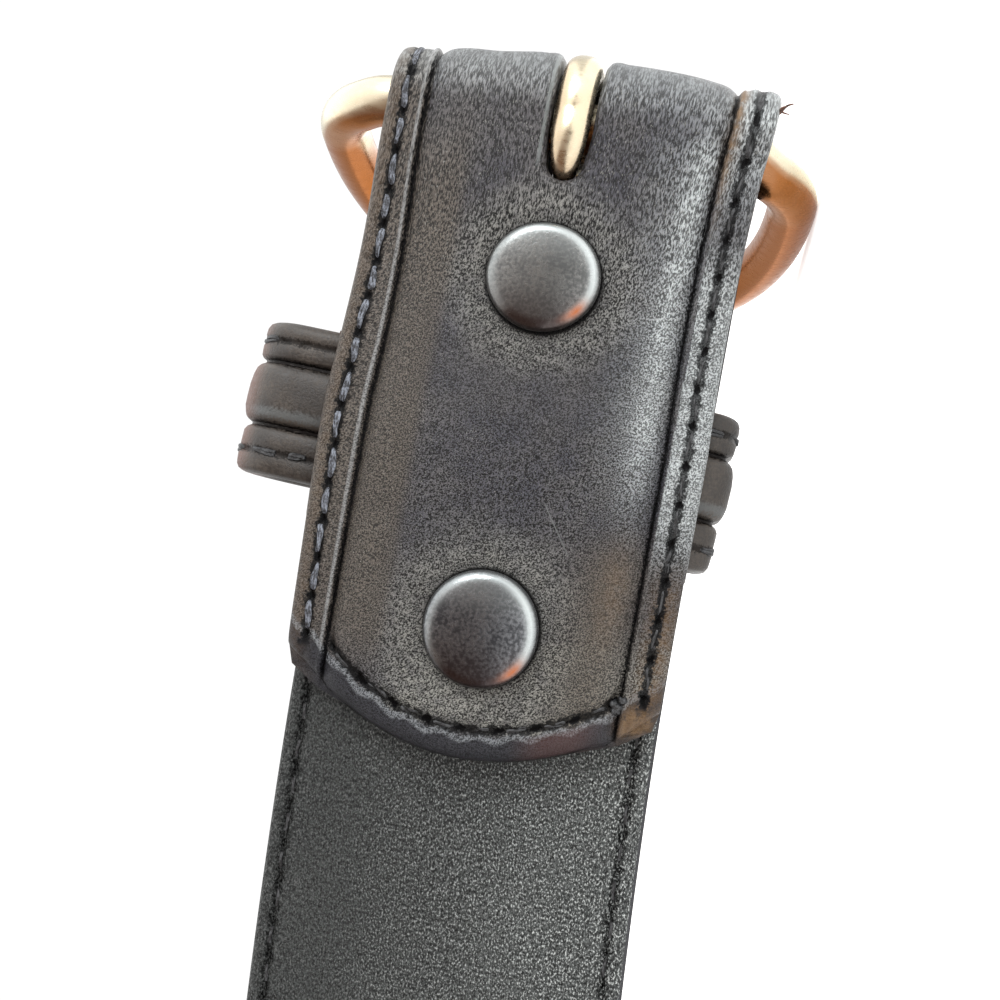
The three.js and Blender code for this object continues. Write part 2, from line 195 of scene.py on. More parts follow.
bar_place = np.array(frame["record"]["behaviour"]["joints"][0]["pos_m"]) * 1000
bar_height = 25.7
buckle_end_lift = 6.7
flap_reach = 73.0
half_width = 19.0
widest_half = 20.0
strap_length = 1213.0
bar_along = 6.4
front_face = 5.55
leather_thickness = 2.6
fold_reach = 3.8
fold_side = 2.95
flap_along = np.array([3.4, 6.4, 9.5, 13.5, 18, 23, 31, 40.3, 49, 58.2, 65, 72])
flap_height = np.array([11.1, 11.1, 11.0, 10.6, 10.0, 9.7, 10.0, 10.5, 10.1, 9.5, 8.7, 7.9])
flap_half_width = np.array([19.1, 19.1, 19.1, 19.0, 18.9, 18.8, 18.8, 19.1, 19.4, 19.4, 19.2, 19.0])
slot_radii = np.array([1.85, 1.93])
hole_radius = 2.4
hole_pitch = 25.4
middle_hole = 1067
tip_span = 30
far_off = 60.0
slot_along = 13.0, 16.8
snap_along = {"upper": 23.0, "lower": 58.2}


def smooth_through(x, places, values):
    """Cubic curve through values at places; its slope at each is the slope between its neighbours."""
    slopes = np.gradient(values, places)
    i = np.clip(np.searchsorted(places, x) - 1, 0, len(places) - 2)
    span = places[i + 1] - places[i]
    t = np.clip((x - places[i]) / span, 0, 1)
    rise = t * t * (3 - 2 * t)
    lean = t * (1 - t) * (1 - t) * slopes[i] - t * t * (1 - t) * slopes[i + 1]
    return values[i] + (values[i + 1] - values[i]) * rise + lean * span


def fade(x, start, end):
    """Smooth step from 0 at start to 1 at end."""
    t = np.clip((x - start) / (end - start), 0, 1)
    return t * t * (3 - 2 * t)


def hill(x, width):
    """A smooth hump of height one."""
    return np.exp(-(x / width) ** 2)


def sum_up(steps):
    """Running sum that starts at none."""
    return np.concatenate([[0], np.cumsum(steps)])


def belt_course():
    """The flesh line of the leather, in plan about the bar: distance run from the crest, x, y, the
    angle of its outward normal, height of the middle line and half width. The flap follows its
    height over the front face, the fold is half an ellipse round the bar, and the strap's heading
    is the running sum of a curvature that is none, grows, holds and eases towards the tip."""
    along = np.arange(flap_reach, bar_along, -0.25)
    height = smooth_through(along, flap_along, flap_height)
    flap = [bar_along - along, front_face + leather_thickness - height,
            np.arctan2(-1, np.gradient(height, along))]
    turn = np.radians(np.arange(-90, 90, 3.0))
    cos, sin = np.cos(turn), np.sin(turn)
    fold = [fold_reach * cos, fold_side * sin, np.arctan2(fold_reach * sin, fold_side * cos)]
    steps = np.arange(bar_along, strap_length + 2)
    full, eased = 1 / 200, 1 / 420
    bend = np.interp(steps + 0.5, [112, 230, 1060, strap_length], [0, full, full, eased])
    heading = np.pi + sum_up(bend)[:-1]
    middle = heading + bend / 2
    strap = [sum_up(np.cos(middle))[:-1], fold_side + sum_up(np.sin(middle))[:-1],
             heading - np.pi / 2]
    x, y, normal = [np.concatenate(parts) for parts in zip(flap, fold, strap)]
    run = sum_up(np.hypot(np.diff(x), np.diff(y)))
    run = run - run[len(along) + len(turn) // 2]
    before = len(along) + len(turn)
    wide = np.concatenate([smooth_through(along, flap_along, flap_half_width),
                           np.full(len(turn) + len(steps), half_width)])
    lift = buckle_end_lift * (1 - fade(steps, 55, 190))
    rise = np.concatenate([np.full(before, bar_height), half_width + lift])
    return (run, x, y, normal, rise, wide), len(along), run[before]


course, flap_count, fold_end = belt_course()


def flap_run(along):
    """Distance run of a place on the flap, which is negative, from its distance along."""
    return np.interp(-along, course[1][:flap_count] - bar_along, course[0][:flap_count])


def strap_run(along):
    """Distance run of a place on the strap from its distance along."""
    return along - bar_along + fold_end


def on_belt(run, across, lift):
    """World places in metres of points at a distance run, across (up is positive) and above the
    flesh side. The lower half is a little wider where it is bent over the bar, and the upper edge
    band in the middle of the flap."""
    across = across * (1 + 0.053 * hill(run + 0.5, 8) * (across < 0))
    across = across + 0.65 * hill(run + 36, 17) * fade(across, 14.8, 17.2)
    x, y, normal, rise = [np.interp(run, course[0], values) for values in course[1:5]]
    return np.stack([
        bar_place[0] + x + lift * np.cos(normal),
        bar_place[1] + y + lift * np.sin(normal),
        rise + across + 0 * lift,
    ], axis=-1) / 1000


def quad_strips(index, joined=False):
    """Faces of a grid of vertex numbers, its rows joined into a ring if asked."""
    if joined:
        index = np.concatenate([index, index[:, :1]], axis=1)
    corners = [index[:-1, :-1], index[:-1, 1:], index[1:, 1:], index[1:, :-1]]
    return np.stack([c.ravel() for c in corners], axis=1)


def make_piece(name, points, faces, body, finish, nodes=(), values=None, sharp=45):
    """Puts points and faces into a mesh whose faces are turned out by its signed volume. Faces that
    fall on themselves are dropped, four-cornered faces may repeat a corner, and unused points go."""
    faces = np.concatenate(faces)
    a, b, c, d = faces.T
    faces = faces[(a != c) & (b != d) & ~((a == b) & (c == d)) & ~((b == c) & (a == d))]
    used, order = np.unique(faces, return_inverse=True)
    faces = order.reshape(faces.shape)
    points = points.reshape(-1, 3)[used]
    p = points[faces] - points.mean(axis=0)
    volume = np.einsum("ij,ij->i", p[:, 0], np.cross(p[:, 1], p[:, 2]) + np.cross(p[:, 2], p[:, 3]))
    if volume.sum() < 0:
        faces = faces[:, ::-1]
    doubled = faces == np.roll(faces, -1, axis=1)
    count = 4 - doubled.sum(axis=1)
    corners = faces[~doubled]
    mesh = bpy.data.meshes.new(name)
    mesh.vertices.add(len(points))
    mesh.vertices.foreach_set("co", points.astype(np.float32).ravel())
    mesh.loops.add(len(corners))
    mesh.loops.foreach_set("vertex_index", corners.astype(np.int32))
    mesh.polygons.add(len(faces))
    mesh.polygons.foreach_set("loop_start", (np.cumsum(count) - count).astype(np.int32))
    mesh.polygons.foreach_set("loop_total", count.astype(np.int32))
    mesh.update(calc_edges=True)
    for label, data in (values or {}).items():
        held = mesh.attributes.new(label, "FLOAT_VECTOR", "POINT")
        held.data.foreach_set("vector", data.reshape(-1, 3)[used].astype(np.float32).ravel())
    mesh.polygons.foreach_set("use_smooth", np.ones(len(faces), dtype=bool))
    mesh.set_sharp_from_angle(angle=np.radians(sharp))
    mesh.materials.append(finish)
    piece = bpy.data.objects.new(name, mesh)
    scene.collection.objects.link(piece)
    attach(piece, body)
    if nodes:
        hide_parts(*nodes)


def places_on(line, lengths, marks):
    """Places at marks on a line that is given with the lengths along it."""
    return np.stack([np.interp(marks, lengths, values) for values in np.transpose(line)], axis=-1)


def distance_to_line(x, y, line):
    """Shortest distance from points to a line given as a dense row of places."""
    gap = np.full(x.shape, 1e9)
    for px, py in line:
        gap = np.minimum(gap, np.hypot(x - px, y - py))
    return gap


def uneven(run, across):
    """Slow, small unevenness of hand-worked leather: waves of unlike lengths, added."""
    return (np.sin(run * 0.31 + 1.3 * np.sin(across * 0.17)) + np.sin(run * 0.083 - across * 0.36)
            + np.sin(across * 0.71 + run * 0.19) + 0.6 * np.sin(run * 0.77 + across * 0.53)) / 3.6


flap_end_corners = np.array([(62.2, -19.8), (66.4, -15.2), (66.6, 14.4), (62.6, 19.8)])
bow = np.linspace(0, 1, 60)[:, None]
flap_end_line = np.concatenate([
    np.linspace(flap_end_corners[0], flap_end_corners[1], 20)[:-1],
    (1 - bow) ** 2 * flap_end_corners[1] + 2 * bow * (1 - bow) * np.array([76.0, 1.0])
    + bow ** 2 * flap_end_corners[2],
    np.linspace(flap_end_corners[2], flap_end_corners[3], 20)[1:],
])
tip_bow = np.linspace(0, 1, 200)[:, None]
tip_line = ((1 - tip_bow) ** 3 * np.array([-27, 19]) + 3 * tip_bow * (1 - tip_bow) ** 2
            * np.array([-12.15, 19]) + 3 * tip_bow ** 2 * (1 - tip_bow) * np.array([-0.6, 11.8]))
tip_run = strap_run(strap_length)
slot_ends = flap_run(slot_along[0]) + slot_radii[0], strap_run(slot_along[1]) - slot_radii[1]
hole_runs = strap_run(middle_hole + hole_pitch * np.arange(-2, 3))
round_ends = [(slot_ends[0], -slot_radii[0]), (slot_ends[1], slot_radii[1])]
round_ends += [(h, reach) for h in hole_runs for reach in (-hole_radius, hole_radius)]
opening_ends = np.array([middle + reach for middle, reach in round_ends])
cap_spots = ((flap_run(snap_along["upper"]), 0.0), (flap_run(57.95), -0.3))
flap_end_dense = places_on(np.stack([flap_run(flap_end_line[:, 0]), flap_end_line[:, 1]], axis=1),
                           np.linspace(0, 1, len(flap_end_line)), np.linspace(0, 1, 400))


def half_width_at(run):
    """Half width: that of the course, rounded off to a point at the tip."""
    wide = np.interp(run, course[0], course[5])
    return np.minimum(wide, np.interp(run - tip_run, tip_line[:, 0], tip_line[:, 1]))


def slot_half_width(run):
    """Half width of the prong's slot, which widens from the flap over the bar to the strap."""
    return np.interp(run, [slot_ends[0], -8, 0, 6], [slot_radii[0], 2.15, 2.2, slot_radii[1]])


def past_slot(run):
    """Distance beyond the ends of the slot's straight part."""
    return np.maximum(np.maximum(slot_ends[0] - run, run - slot_ends[1]), 0)


def opening_gap(run, across):
    """Distance from the rim of the prong's slot or of the nearest hole, negative inside."""
    gap = np.hypot(past_slot(run), across) - slot_half_width(run)
    for hole in hole_runs:
        gap = np.minimum(gap, np.hypot(run - hole, across) - hole_radius)
    return gap


def opening_half_width(run):
    """Half width of the opening on the belt's middle line: round ends, straight in the slot."""
    wide = np.sqrt(np.maximum(slot_half_width(run) ** 2 - past_slot(run) ** 2, 0))
    for hole in hole_runs:
        wide = np.maximum(wide, np.sqrt(np.maximum(hole_radius ** 2 - (run - hole) ** 2, 0)))
    return wide


def merged_rows(rows, least):
    """Sorted rows with any that are closer than the least gap left out, opening ends kept."""
    rows = np.sort(np.concatenate(rows))
    rows = rows[np.abs(rows[:, None] - opening_ends).min(axis=1) > least / 2]
    kept = rows[np.append(True, np.diff(rows) > least)]
    ends = opening_ends[(opening_ends > rows[0]) & (opening_ends < rows[-1])]
    return np.sort(np.concatenate([kept, ends]))


def tip_rows(count, last):
    """Rows that crowd towards the tip, and one that stays a last bit short of it."""
    crowd = np.sin(np.linspace(0, np.pi / 2, count)[:-1])
    return np.append(tip_run - tip_span * (1 - crowd), tip_run - last)


flap_square = flap_run(50.0)
crowded = [middle + reach * np.sin(np.linspace(0, np.pi / 2, 9)) for middle, reach in round_ends]
strap_rows = merged_rows([
    np.arange(flap_square, fold_end + 3, 0.42),
    np.arange(fold_end + 3, tip_run - tip_span, 2.9),
    tip_rows(44, 0.03),
    *crowded,
], 0.12)


def half_grid(rows, widest, inwards, shares):
    """Places run and across of one half of a layer, from the opening or middle line out to the edge:
    even on the panel, close together on the stitched band. Near the tip they all draw together."""
    wide = np.minimum(widest, half_width_at(rows))[:, None]
    inner = opening_half_width(rows)[:, None]
    draw = np.clip((wide - inner) / 9.5, 0, 1)
    band = wide - np.array(inwards)[::-1] * draw
    panel = inner + (band[:, :1] - inner) * shares
    across = np.concatenate([panel, band], axis=1)
    return np.repeat(rows[:, None], across.shape[1], axis=1), across


edge_inwards = np.concatenate([
    [0, 0.1, 0.3, 0.55, 0.8, 1.05], np.arange(1.3, 3.1, 0.24), np.arange(3.12, 4.6, 0.14),
    [4.75, 4.95, 5.2, 5.7, 6.2, 6.9, 7.7],
])
panel_shares = np.concatenate([[0, 0.04, 0.08, 0.13, 0.19], np.linspace(0.28, 1, 8)[:-1]])
run, across = half_grid(strap_rows, widest_half, edge_inwards, panel_shares)

# Rows beyond the flap's square part, from its outline back to the first straight row
end_shares = 1 - np.concatenate([[0, 0.004, 0.012, 0.022, 0.034], np.linspace(0.05, 1, 46)[:-1]])
end_across = np.repeat(across[:1], len(end_shares), axis=0)


def flap_end_run(up):
    """Distance run of the flap's end at a place across."""
    order = np.argsort(flap_end_line[:, 1])
    return flap_run(np.interp(up, flap_end_line[order, 1], flap_end_line[order, 0]))


# Grids for the upper and the lower half, the flap's end rows bent to its outline
halves = []
for side in (1, -1):
    wide = np.interp(flap_end_run(side * end_across), course[0], course[5])
    end_up = end_across * wide / np.interp(flap_square, course[0], course[5])
    end_run = flap_square + (flap_end_run(side * end_up) - flap_square) * end_shares[:, None]
    halves.append((np.concatenate([end_run, run]), side * np.concatenate([end_up, across])))

stitch_pitch = 3.8
stitch_inward = 1.95
lip_pitch = 3.6
lip_inward = 3.35


def side_thickness(inward):
    """Thickness over the flesh side by inward distance: round edge, crowned band, narrow bead,
    groove, then the padded panel."""
    inwards = np.array([0, 0.12, 0.35, 0.7, 1.2, 1.9, 2.6, 3.1, 3.38, 3.65, 3.9, 4.15, 4.5, 5.1,
                        6.5, 9, 12, 20])
    thick = np.array([0.95, 1.35, 1.62, 1.80, 1.90, 1.94, 1.90, 1.85, 1.90, 2.10, 1.86, 1.46, 1.70,
                      2.08, 2.38, 2.52, 2.60, 2.62])
    return smooth_through(inward, inwards, thick)


def end_thickness(inward):
    """Share of the thickness by distance from the flap's end: a thick turned lip."""
    inwards = np.array([0, 0.15, 0.5, 1.0, 1.8, 3.0, 6, 80])
    share = np.array([0.36, 0.58, 0.78, 0.90, 0.97, 1.0, 1.0, 1.0])
    return smooth_through(inward, inwards, share)


def hole_gap(place, pitch):
    """Distance along a row of stitches to the nearest stitch hole."""
    return np.abs((place / pitch + 0.5) % 1 - 0.5) * pitch


def inward_at(run, across, widest=widest_half):
    """Distance in from the edge or from the round tip, and where the belt's sides are straight."""
    inward = np.minimum(widest, half_width_at(run)) - np.abs(across)
    tip = run > tip_run - tip_span - 1
    tip_gap = distance_to_line(run[tip] - tip_run, np.abs(across[tip]), tip_line)
    inward[tip] = np.minimum(inward[tip], tip_gap)
    return inward, ~tip


def leather_surface(run, across):
    """Grain side: side and end thickness multiplied, fuller over the bar, less the stitch channels
    and their puckers, the slot's and holes' soft rims and the seats of the snap caps."""
    inward, straight = inward_at(run, across)
    end_zone = run < flap_square
    end_gap = np.full(run.shape, far_off)
    end_gap[end_zone] = distance_to_line(run[end_zone], across[end_zone], flap_end_dense)
    thick = side_thickness(inward) * end_thickness(end_gap)
    hole = hill(hole_gap(run, stitch_pitch), 0.5) * straight
    thick -= hill(inward - stitch_inward, 0.42) * (0.22 + 0.34 * hole)
    thick -= hill(inward - stitch_inward, 1.1) * 0.07 * hole
    lip = fade(inward, 4.0, 4.7)
    lip_hole = hill(hole_gap(across, lip_pitch), 0.6)
    thick -= lip * hill(end_gap - lip_inward - 0.25 * lip_hole, 0.6) * (0.42 + 0.25 * lip_hole)
    thick += lip * hill(end_gap - 1.6, 1.0) * 0.12 * (1 - lip_hole)
    gap = opening_gap(run, across)
    slot = run < 40
    rim = np.where(slot, 0.55, 0.3)
    thick -= rim * np.maximum(1 - gap / (rim * 1.15), 0) ** 2.2 * fade(inward, 0, 2)
    thick += slot * 0.10 * hill(gap - 1.0, 0.45)
    fuller = np.interp(across, [-19, -16.3, -15.3, -12, -10, 5, 9, 19],
                       [0.75, 0.8, 0.25, 0.4, 0.55, 0.6, 0.15, 0])
    thick += fuller * hill(run + 0.8, 4.5)
    for cap_run, cap_across in cap_spots:
        seat = np.hypot(run - cap_run, across - cap_across)
        thick -= 0.3 * fade(seat, 6.5, 5.8) + 0.10 * hill(seat - 6.6, 0.5)
    thick += 0.05 * uneven(run, across) * fade(inward, 4.2, 6)
    return np.maximum(thick, 0.5), inward, end_gap


def layer(halves, surface, bottom_inwards, bottom_lift, edge_lift):
    """Run, across and lift of a layer's points, half by half: its worked side, its edge and its
    plain side. Also a field of the distances that come with its worked side."""
    surfaces = [surface(*half) for half in halves]
    grids = []
    for (run, across), (lift, *_) in zip(halves, surfaces):
        edge, inner = np.abs(across[:, -1:]), np.abs(across[:, :1])
        under = np.maximum(edge - np.array(bottom_inwards), inner)
        under[:, -1:] = inner
        plain_across = np.sign(across[:, -1:]) * np.concatenate([edge, under], axis=1)
        share = np.linspace(0, 1, plain_across.shape[1])[None, :]
        plain_run = run[:, -1:] * (1 - share) + run[:, :1] * share
        plain_lift = np.full(plain_across.shape, bottom_lift)
        plain_lift[:, 0] = edge_lift
        pairs = (run, plain_run), (across, plain_across), (lift, plain_lift)
        grids.append([np.concatenate(pair, axis=1) for pair in pairs])
    places = [np.stack(parts) for parts in zip(*grids)]
    zones = np.zeros(places[0].shape + (3,))
    for zone, (_, *gaps) in zip(zones, surfaces):
        for k, gap in enumerate(gaps):
            zone[:, :gap.shape[1], k] = gap
    return places, zones


def layer_faces(shape, worked, open_rows):
    """Faces of both halves. The halves share their middle points where no opening parts them, and a
    wall joins the two sides round each opening. The first and last rows are closed with strips."""
    upper, lower = np.arange(np.prod(shape)).reshape(shape)
    shut = ~open_rows
    lower[shut, 0] = upper[shut, 0]
    lower[shut, -1] = upper[shut, -1]
    faces = [quad_strips(upper), quad_strips(lower)[:, ::-1]]
    for half in (upper, lower[:, ::-1]):
        faces.append(quad_strips(half[:, [-1, 0]])[open_rows[:-1] | open_rows[1:]])
    for row, flip in ((0, False), (-1, True)):
        for half, other in ((upper, False), (lower, True)):
            grain, plain = half[row, :worked], half[row, :worked - 1:-1]
            match = np.round(np.linspace(0, len(plain) - 1, len(grain))).astype(int)
            strip = np.stack([grain[:-1], grain[1:], plain[match[1:]], plain[match[:-1]]], axis=1)
            faces.append(strip if flip == other else strip[:, ::-1])
    return faces


places, zones = layer(halves, leather_surface, [0.45, 3.5, 9.0, 19.0], 0.0, 0.45)
all_run, all_across, all_lift = places
open_rows = np.concatenate([np.zeros(len(end_shares), bool), opening_half_width(strap_rows) > 0.02])
leather_faces = layer_faces(all_run.shape, across.shape[1], open_rows)


def leather_wear(run, across):
    """Warm brown marks: rubs on the lower band near the second snap, on the bead at the crest and a
    little along the upper edge, a raw patch at the lower corner, and a faint patch on the lower panel."""
    low = hill(across + 17.6, 1.6) * fade(-run, 46, 54) * 0.6
    raw = hill(across + 16.4, 1.3) * hill(run + 63.8, 1.5) * 1.6
    bead = hill(across + 15.3, 0.55) * fade(-run, 17, 3) * fade(run, 4, 0)
    panel = hill(across + 12.4, 1.5) * hill(run + 51.5, 4.5) * 0.3
    upper = hill(across - 18.0, 1.2) * 0.2 * (run < 4)
    return np.clip(low + raw + bead + panel + upper, 0, 1.2)


def leather_tone_and_sheen(run, across):
    """Shares of three tones: brown along the upper shoulder and band, which is a painted warm
    reflection, with a browner patch on the lower panel; a pale painted sheen at the crest and along
    the lower shoulder and band; and paler grain over and below the second snap."""
    flap = fade(-run, -6, -1)
    # Brown along the upper shoulder and band is a painted warm reflection; the lower panel patch is only
    # browner
    brown = flap * np.where(across > 14.6, 0.8, 0.9 * fade(across, 8.5, 10.5) * fade(-run, 4, 16))
    brown *= 0.8 * fade(-run, 66, 58)
    brown += 0.8 * hill(across + 11.5, 3.4) * fade(-run, 44, 50)
    # Painted sheen: a pale highlight at the crest and along the lower shoulder and band
    painted_sheen = 0.48 * fade(run, -6, -2) * fade(run, 7, 1)
    shoulder = hill(across + 13.5 + 0.03 * np.maximum(run, -30), 1.45) + 0.25 * hill(across + 10.5, 2.4)
    painted_sheen += 0.78 * shoulder * fade(-run, 3, 9) * fade(-run, 48, 34)
    painted_sheen += np.where(across < -15.4, 0.9, 0) * fade(-run, 12, 24) * fade(-run, 50, 42)
    painted_sheen += np.where(across < -15.4, 0.45, 0) * fade(-run, 16, 8) * fade(run, 6, 0)
    light = 0.5 * hill(run + 49.5, 2.6) * hill(across - 1.5, 4.5)
    light += 0.9 * fade(-run, 52, 59) * fade(run, -68, -66) * fade(-across, -12, -5)
    return np.clip(np.stack([brown, painted_sheen, light], axis=-1), 0, 1)


def drawn_grain(run, across, lift):
    """Places for the grain: drawn out along the belt near the bar, and turned by the flap's bend."""
    steps = np.arange(-80, strap_length + 20, 0.5)
    pace = 1.6 - 1.1 * fade(steps, -34, -12) * fade(steps, 24, 10)
    way = np.interp(run, steps, np.cumsum(pace) * 0.5)
    return np.stack([across - 0.0025 * np.minimum(run, 0) ** 2, way, lift], axis=-1)


zones[..., 2] = leather_wear(all_run, all_across)


def field(tree, name):
    """A mesh attribute as a value."""
    return node(tree, "Attribute", "Vector", attribute_name=name)


def noise(place, scale, detail=3.0, roughness=0.6, stretch=None):
    """Noise on a place, stretched if asked."""
    if stretch:
        place = place.vector("MULTIPLY", stretch)
    return node(place.tree, "TexNoise", "Fac", {
        "Vector": place, "Scale": scale, "Detail": detail, "Roughness": roughness})


def pebbles(place, scale, stretch):
    """Height of leather grain: soft cells parted by creases."""
    tree = place.tree
    wobble = node(tree, "TexNoise", "Color", {"Vector": place, "Scale": scale * 0.8, "Detail": 2.0})
    shift = node(tree, "VectorMath", "Vector", {0: wobble, "Scale": 0.5 / scale}, operation="SCALE")
    sized = place.vector("ADD", shift).vector("MULTIPLY", stretch)
    cells = node(tree, "TexVoronoi", "Distance", {"Vector": sized, "Scale": scale},
                 feature="DISTANCE_TO_EDGE")
    return cells.remap(0.0, 0.22)


def stitch_shadow(ragged, aside, along, pitch):
    """Dark of a stitch channel and its holes by distance aside of it and place along it."""
    wander = (ragged - 0.5) * 1.5
    hole = along.math("PINGPONG", pitch / 2)
    hole = (hole * hole + aside * aside * 2.5).math("SQRT") + wander
    return hole.remap(0.80, 0.45).most((aside + wander).remap(0.62, 0.34, 0.0, 0.85))


leather_finish, tree, shader = new_finish("black_grain_leather", {
    "Coat Weight": 0.12, "Coat Roughness": 0.3, "Specular IOR Level": 0.4})
place, drawn = field(tree, "belt_place"), field(tree, "belt_grain")
across_place, run_place, lift_place = place.parts()
inward, end_gap, wear = field(tree, "belt_zone").parts()
brown_and_reflection_share, painted_sheen_share, light_share = field(tree, "belt_tone").parts()
grain = pebbles(place, 2.6, (1.0, 0.6, 1.0))
streaks = noise(drawn, 5.2, stretch=(1.25, 0.72, 1.0))
dots = noise(drawn, 8.0, 2.0, 0.5, (1.1, 0.8, 1.0))
coarse = noise(place, 0.7, roughness=0.55)
ragged = noise(place, 1.9)

# Black dye in random tones, paler grain by the caps, painted reflection and sheen, then grain and glints
base = noise(place, 0.13).remap(0.3, 0.7).mix((0.012, 0.012, 0.016, 1), (0.023, 0.022, 0.023, 1))
cap_gap, other_gap = [place.vector("DISTANCE", (up, float(along), leather_thickness - 0.2), "Value")
                      for along, up in cap_spots]
cap_gap = cap_gap.math("MINIMUM", other_gap)
halo = light_share.most(cap_gap.away(6.8).remap(5.0, 0.4, 0.0, 0.6))
base = (halo * coarse.remap(0.3, 0.6, 0.5, 1.0)).mix(base, (0.066, 0.066, 0.060, 1))
# Painted warm reflection along the upper shoulder and band, and a browner patch on the lower panel
base = brown_and_reflection_share.mix(base, (0.034, 0.028, 0.021, 1))
# Painted sheen on the crest and on the lower shoulder and band
base = (painted_sheen_share * coarse.remap(0.35, 0.65, 0.7, 1.0)).mix(base, (0.170, 0.184, 0.186, 1))
calm = (painted_sheen_share * 0.6).most(brown_and_reflection_share * 0.45)
calm = calm.most((halo + run_place.remap(-30.0, -45.0, 0.0, 0.6)).remap(0.0, 0.6, 0.30, 0.0))
calm = calm.most(run_place.away(0.5).remap(6.0, 2.5, 0.0, 0.85))
# The grain's streaks lighten its raised tops and darken its lows, partly its own tone and partly painted
# light
base = streaks.remap(0.42, 0.62, calm * 0.9 + 0.08, 4.9 - calm * 3.0).tint(base)
# Painted glints: small highlights on the grain, fewer where it is smooth
glints = dots.remap(0.60, 0.72, 0.0, 0.8) * (1.0 - calm)
base = glints.mix(base, (0.30, 0.30, 0.28, 1))

# Painted highlights on the slot's rim and bead; painted shade in openings, round caps and in the groove
# Painted highlight along the upper rim of the slot
slot_rim_highlight = across_place.away(2.6).remap(0.26, 0.08, 0.0, 0.7) * run_place.away(-5.0).remap(6.5, 4.5)
base = slot_rim_highlight.mix(base, (0.20, 0.22, 0.22, 1))
# Painted shade: inside the openings, in a contact ring round the caps and in the panel's groove
unlit = lift_place.remap(2.1, 1.3, 0.0, 0.95) * inward.remap(5.5, 7.5)
unlit = unlit.most(cap_gap.remap(6.15, 5.75, 0.0, 0.9))
unlit = unlit.most((inward.away(4.12) + streaks * 0.9).remap(0.86, 0.50, 0.0, 0.96))
# Painted highlight along the bead, stronger on the upper side
bead = inward.away(3.60).remap(0.24, 0.08) * across_place.remap(-1.0, 1.0, 0.12, 0.9)
bead = bead * streaks.remap(0.35, 0.60, 0.30, 1.0)
base = bead.mix(base, (0.26, 0.265, 0.265, 1))

# The turned lip, its scalloped pale crease and the reddish rub on it
lip_share = end_gap.remap(2.9, 2.2)
base = lip_share.mix(base, streaks.remap(0.38, 0.64, 0.5, 1.9).tint((0.012, 0.0125, 0.017)))
scallop = end_gap + (across_place + lip_pitch / 2).math("PINGPONG", lip_pitch / 2) * 0.35
pale_lip = scallop.away(2.85).remap(0.50, 0.15, 0.0, 0.9) * streaks.remap(0.40, 0.60, 0.10, 1.0)
base = pale_lip.mix(base, (0.21, 0.225, 0.24, 1))
red_lip = lip_share * across_place.away(-9.5).remap(5.0, 1.0, 0.0, 0.45)
base = red_lip.mix(base, (0.085, 0.030, 0.024, 1))

# Painted shade in the stitch channels and holes, brown wear and the scratch
side_dark = stitch_shadow(ragged, inward.away(stitch_inward), run_place, stitch_pitch)
side_dark = side_dark * run_place.remap(-62.6, -61.4)
lip_dark = stitch_shadow(ragged, end_gap.away(lip_inward), across_place, lip_pitch)
unlit = unlit.most(side_dark.most(lip_dark * inward.remap(4.0, 4.6)))
worn = (wear * noise(place, 1.1, 4.0, 0.65).remap(0.30, 0.60, 0.35, 1.0)).math("MINIMUM", 1.0)
worn = worn * side_dark.remap(0.2, 0.8, 1.0, 0.1)
base = worn.mix(base, ragged.mix((0.070, 0.036, 0.017, 1), (0.24, 0.15, 0.07, 1)))
scratch_run = run_place + 44.0
scratch = across_place.away(scratch_run * 0.68 - 4.3).remap(0.12, 0.04)
scratch = scratch * scratch_run.away(-2.2).remap(2.6, 2.0, 0.0, 0.8)
base = scratch.mix(base, (0.13, 0.135, 0.135, 1))
# Painted shade in the grain's low pits: there the leather turns black and loses its reflection
pits = streaks.remap(0.54, 0.40, 0.0, 0.55) * (1.0 - calm)
relief = grain * inward.remap(3.6, 4.6, 0.1, 0.35) + streaks * (3.6 - calm * 3.4) + coarse * 1.2
feed(shader, {
    "Base Color": unlit.mix(base, (0.0025, 0.0025, 0.003, 1)),
    "Metallic": unlit.most(pits),
    "Roughness": streaks.remap(0.3, 0.7, 0.34, 0.56),
    "Normal": relief.bump(0.9, 0.00010),
})

make_piece("grain_leather_strip", on_belt(*places), leather_faces, "belt",
           leather_finish, ["outer_leather"],
           {"belt_place": np.stack([all_across, all_run, all_lift], axis=-1), "belt_zone": zones,
            "belt_grain": drawn_grain(*places), "belt_tone": leather_tone_and_sheen(all_run, all_across)})


# Stitching of the outer leather
# Waxed two-ply thread in dark holes, one row along each edge band, round the tip and across the
# lip of the flap. Each stitch is two plies laid round each other, their ends drawn into the holes.


def tube_faces(rings, sides, count):
    """Faces of many equal tubes of rings by sides points, each closed at both ends."""
    index = np.arange(rings * sides).reshape(rings, sides)
    faces = [quad_strips(index, joined=True)]
    for row, step in ((index[0], 1), (index[-1], -1)):
        for k in range(1, sides - 1, 2):
            faces.append(np.array([[row[0], row[k], row[k + 1], row[min(k + 2, sides - 1)]][::step]]))
    one = np.concatenate(faces)
    return (one[None] + np.arange(count)[:, None, None] * rings * sides).reshape(-1, 4)


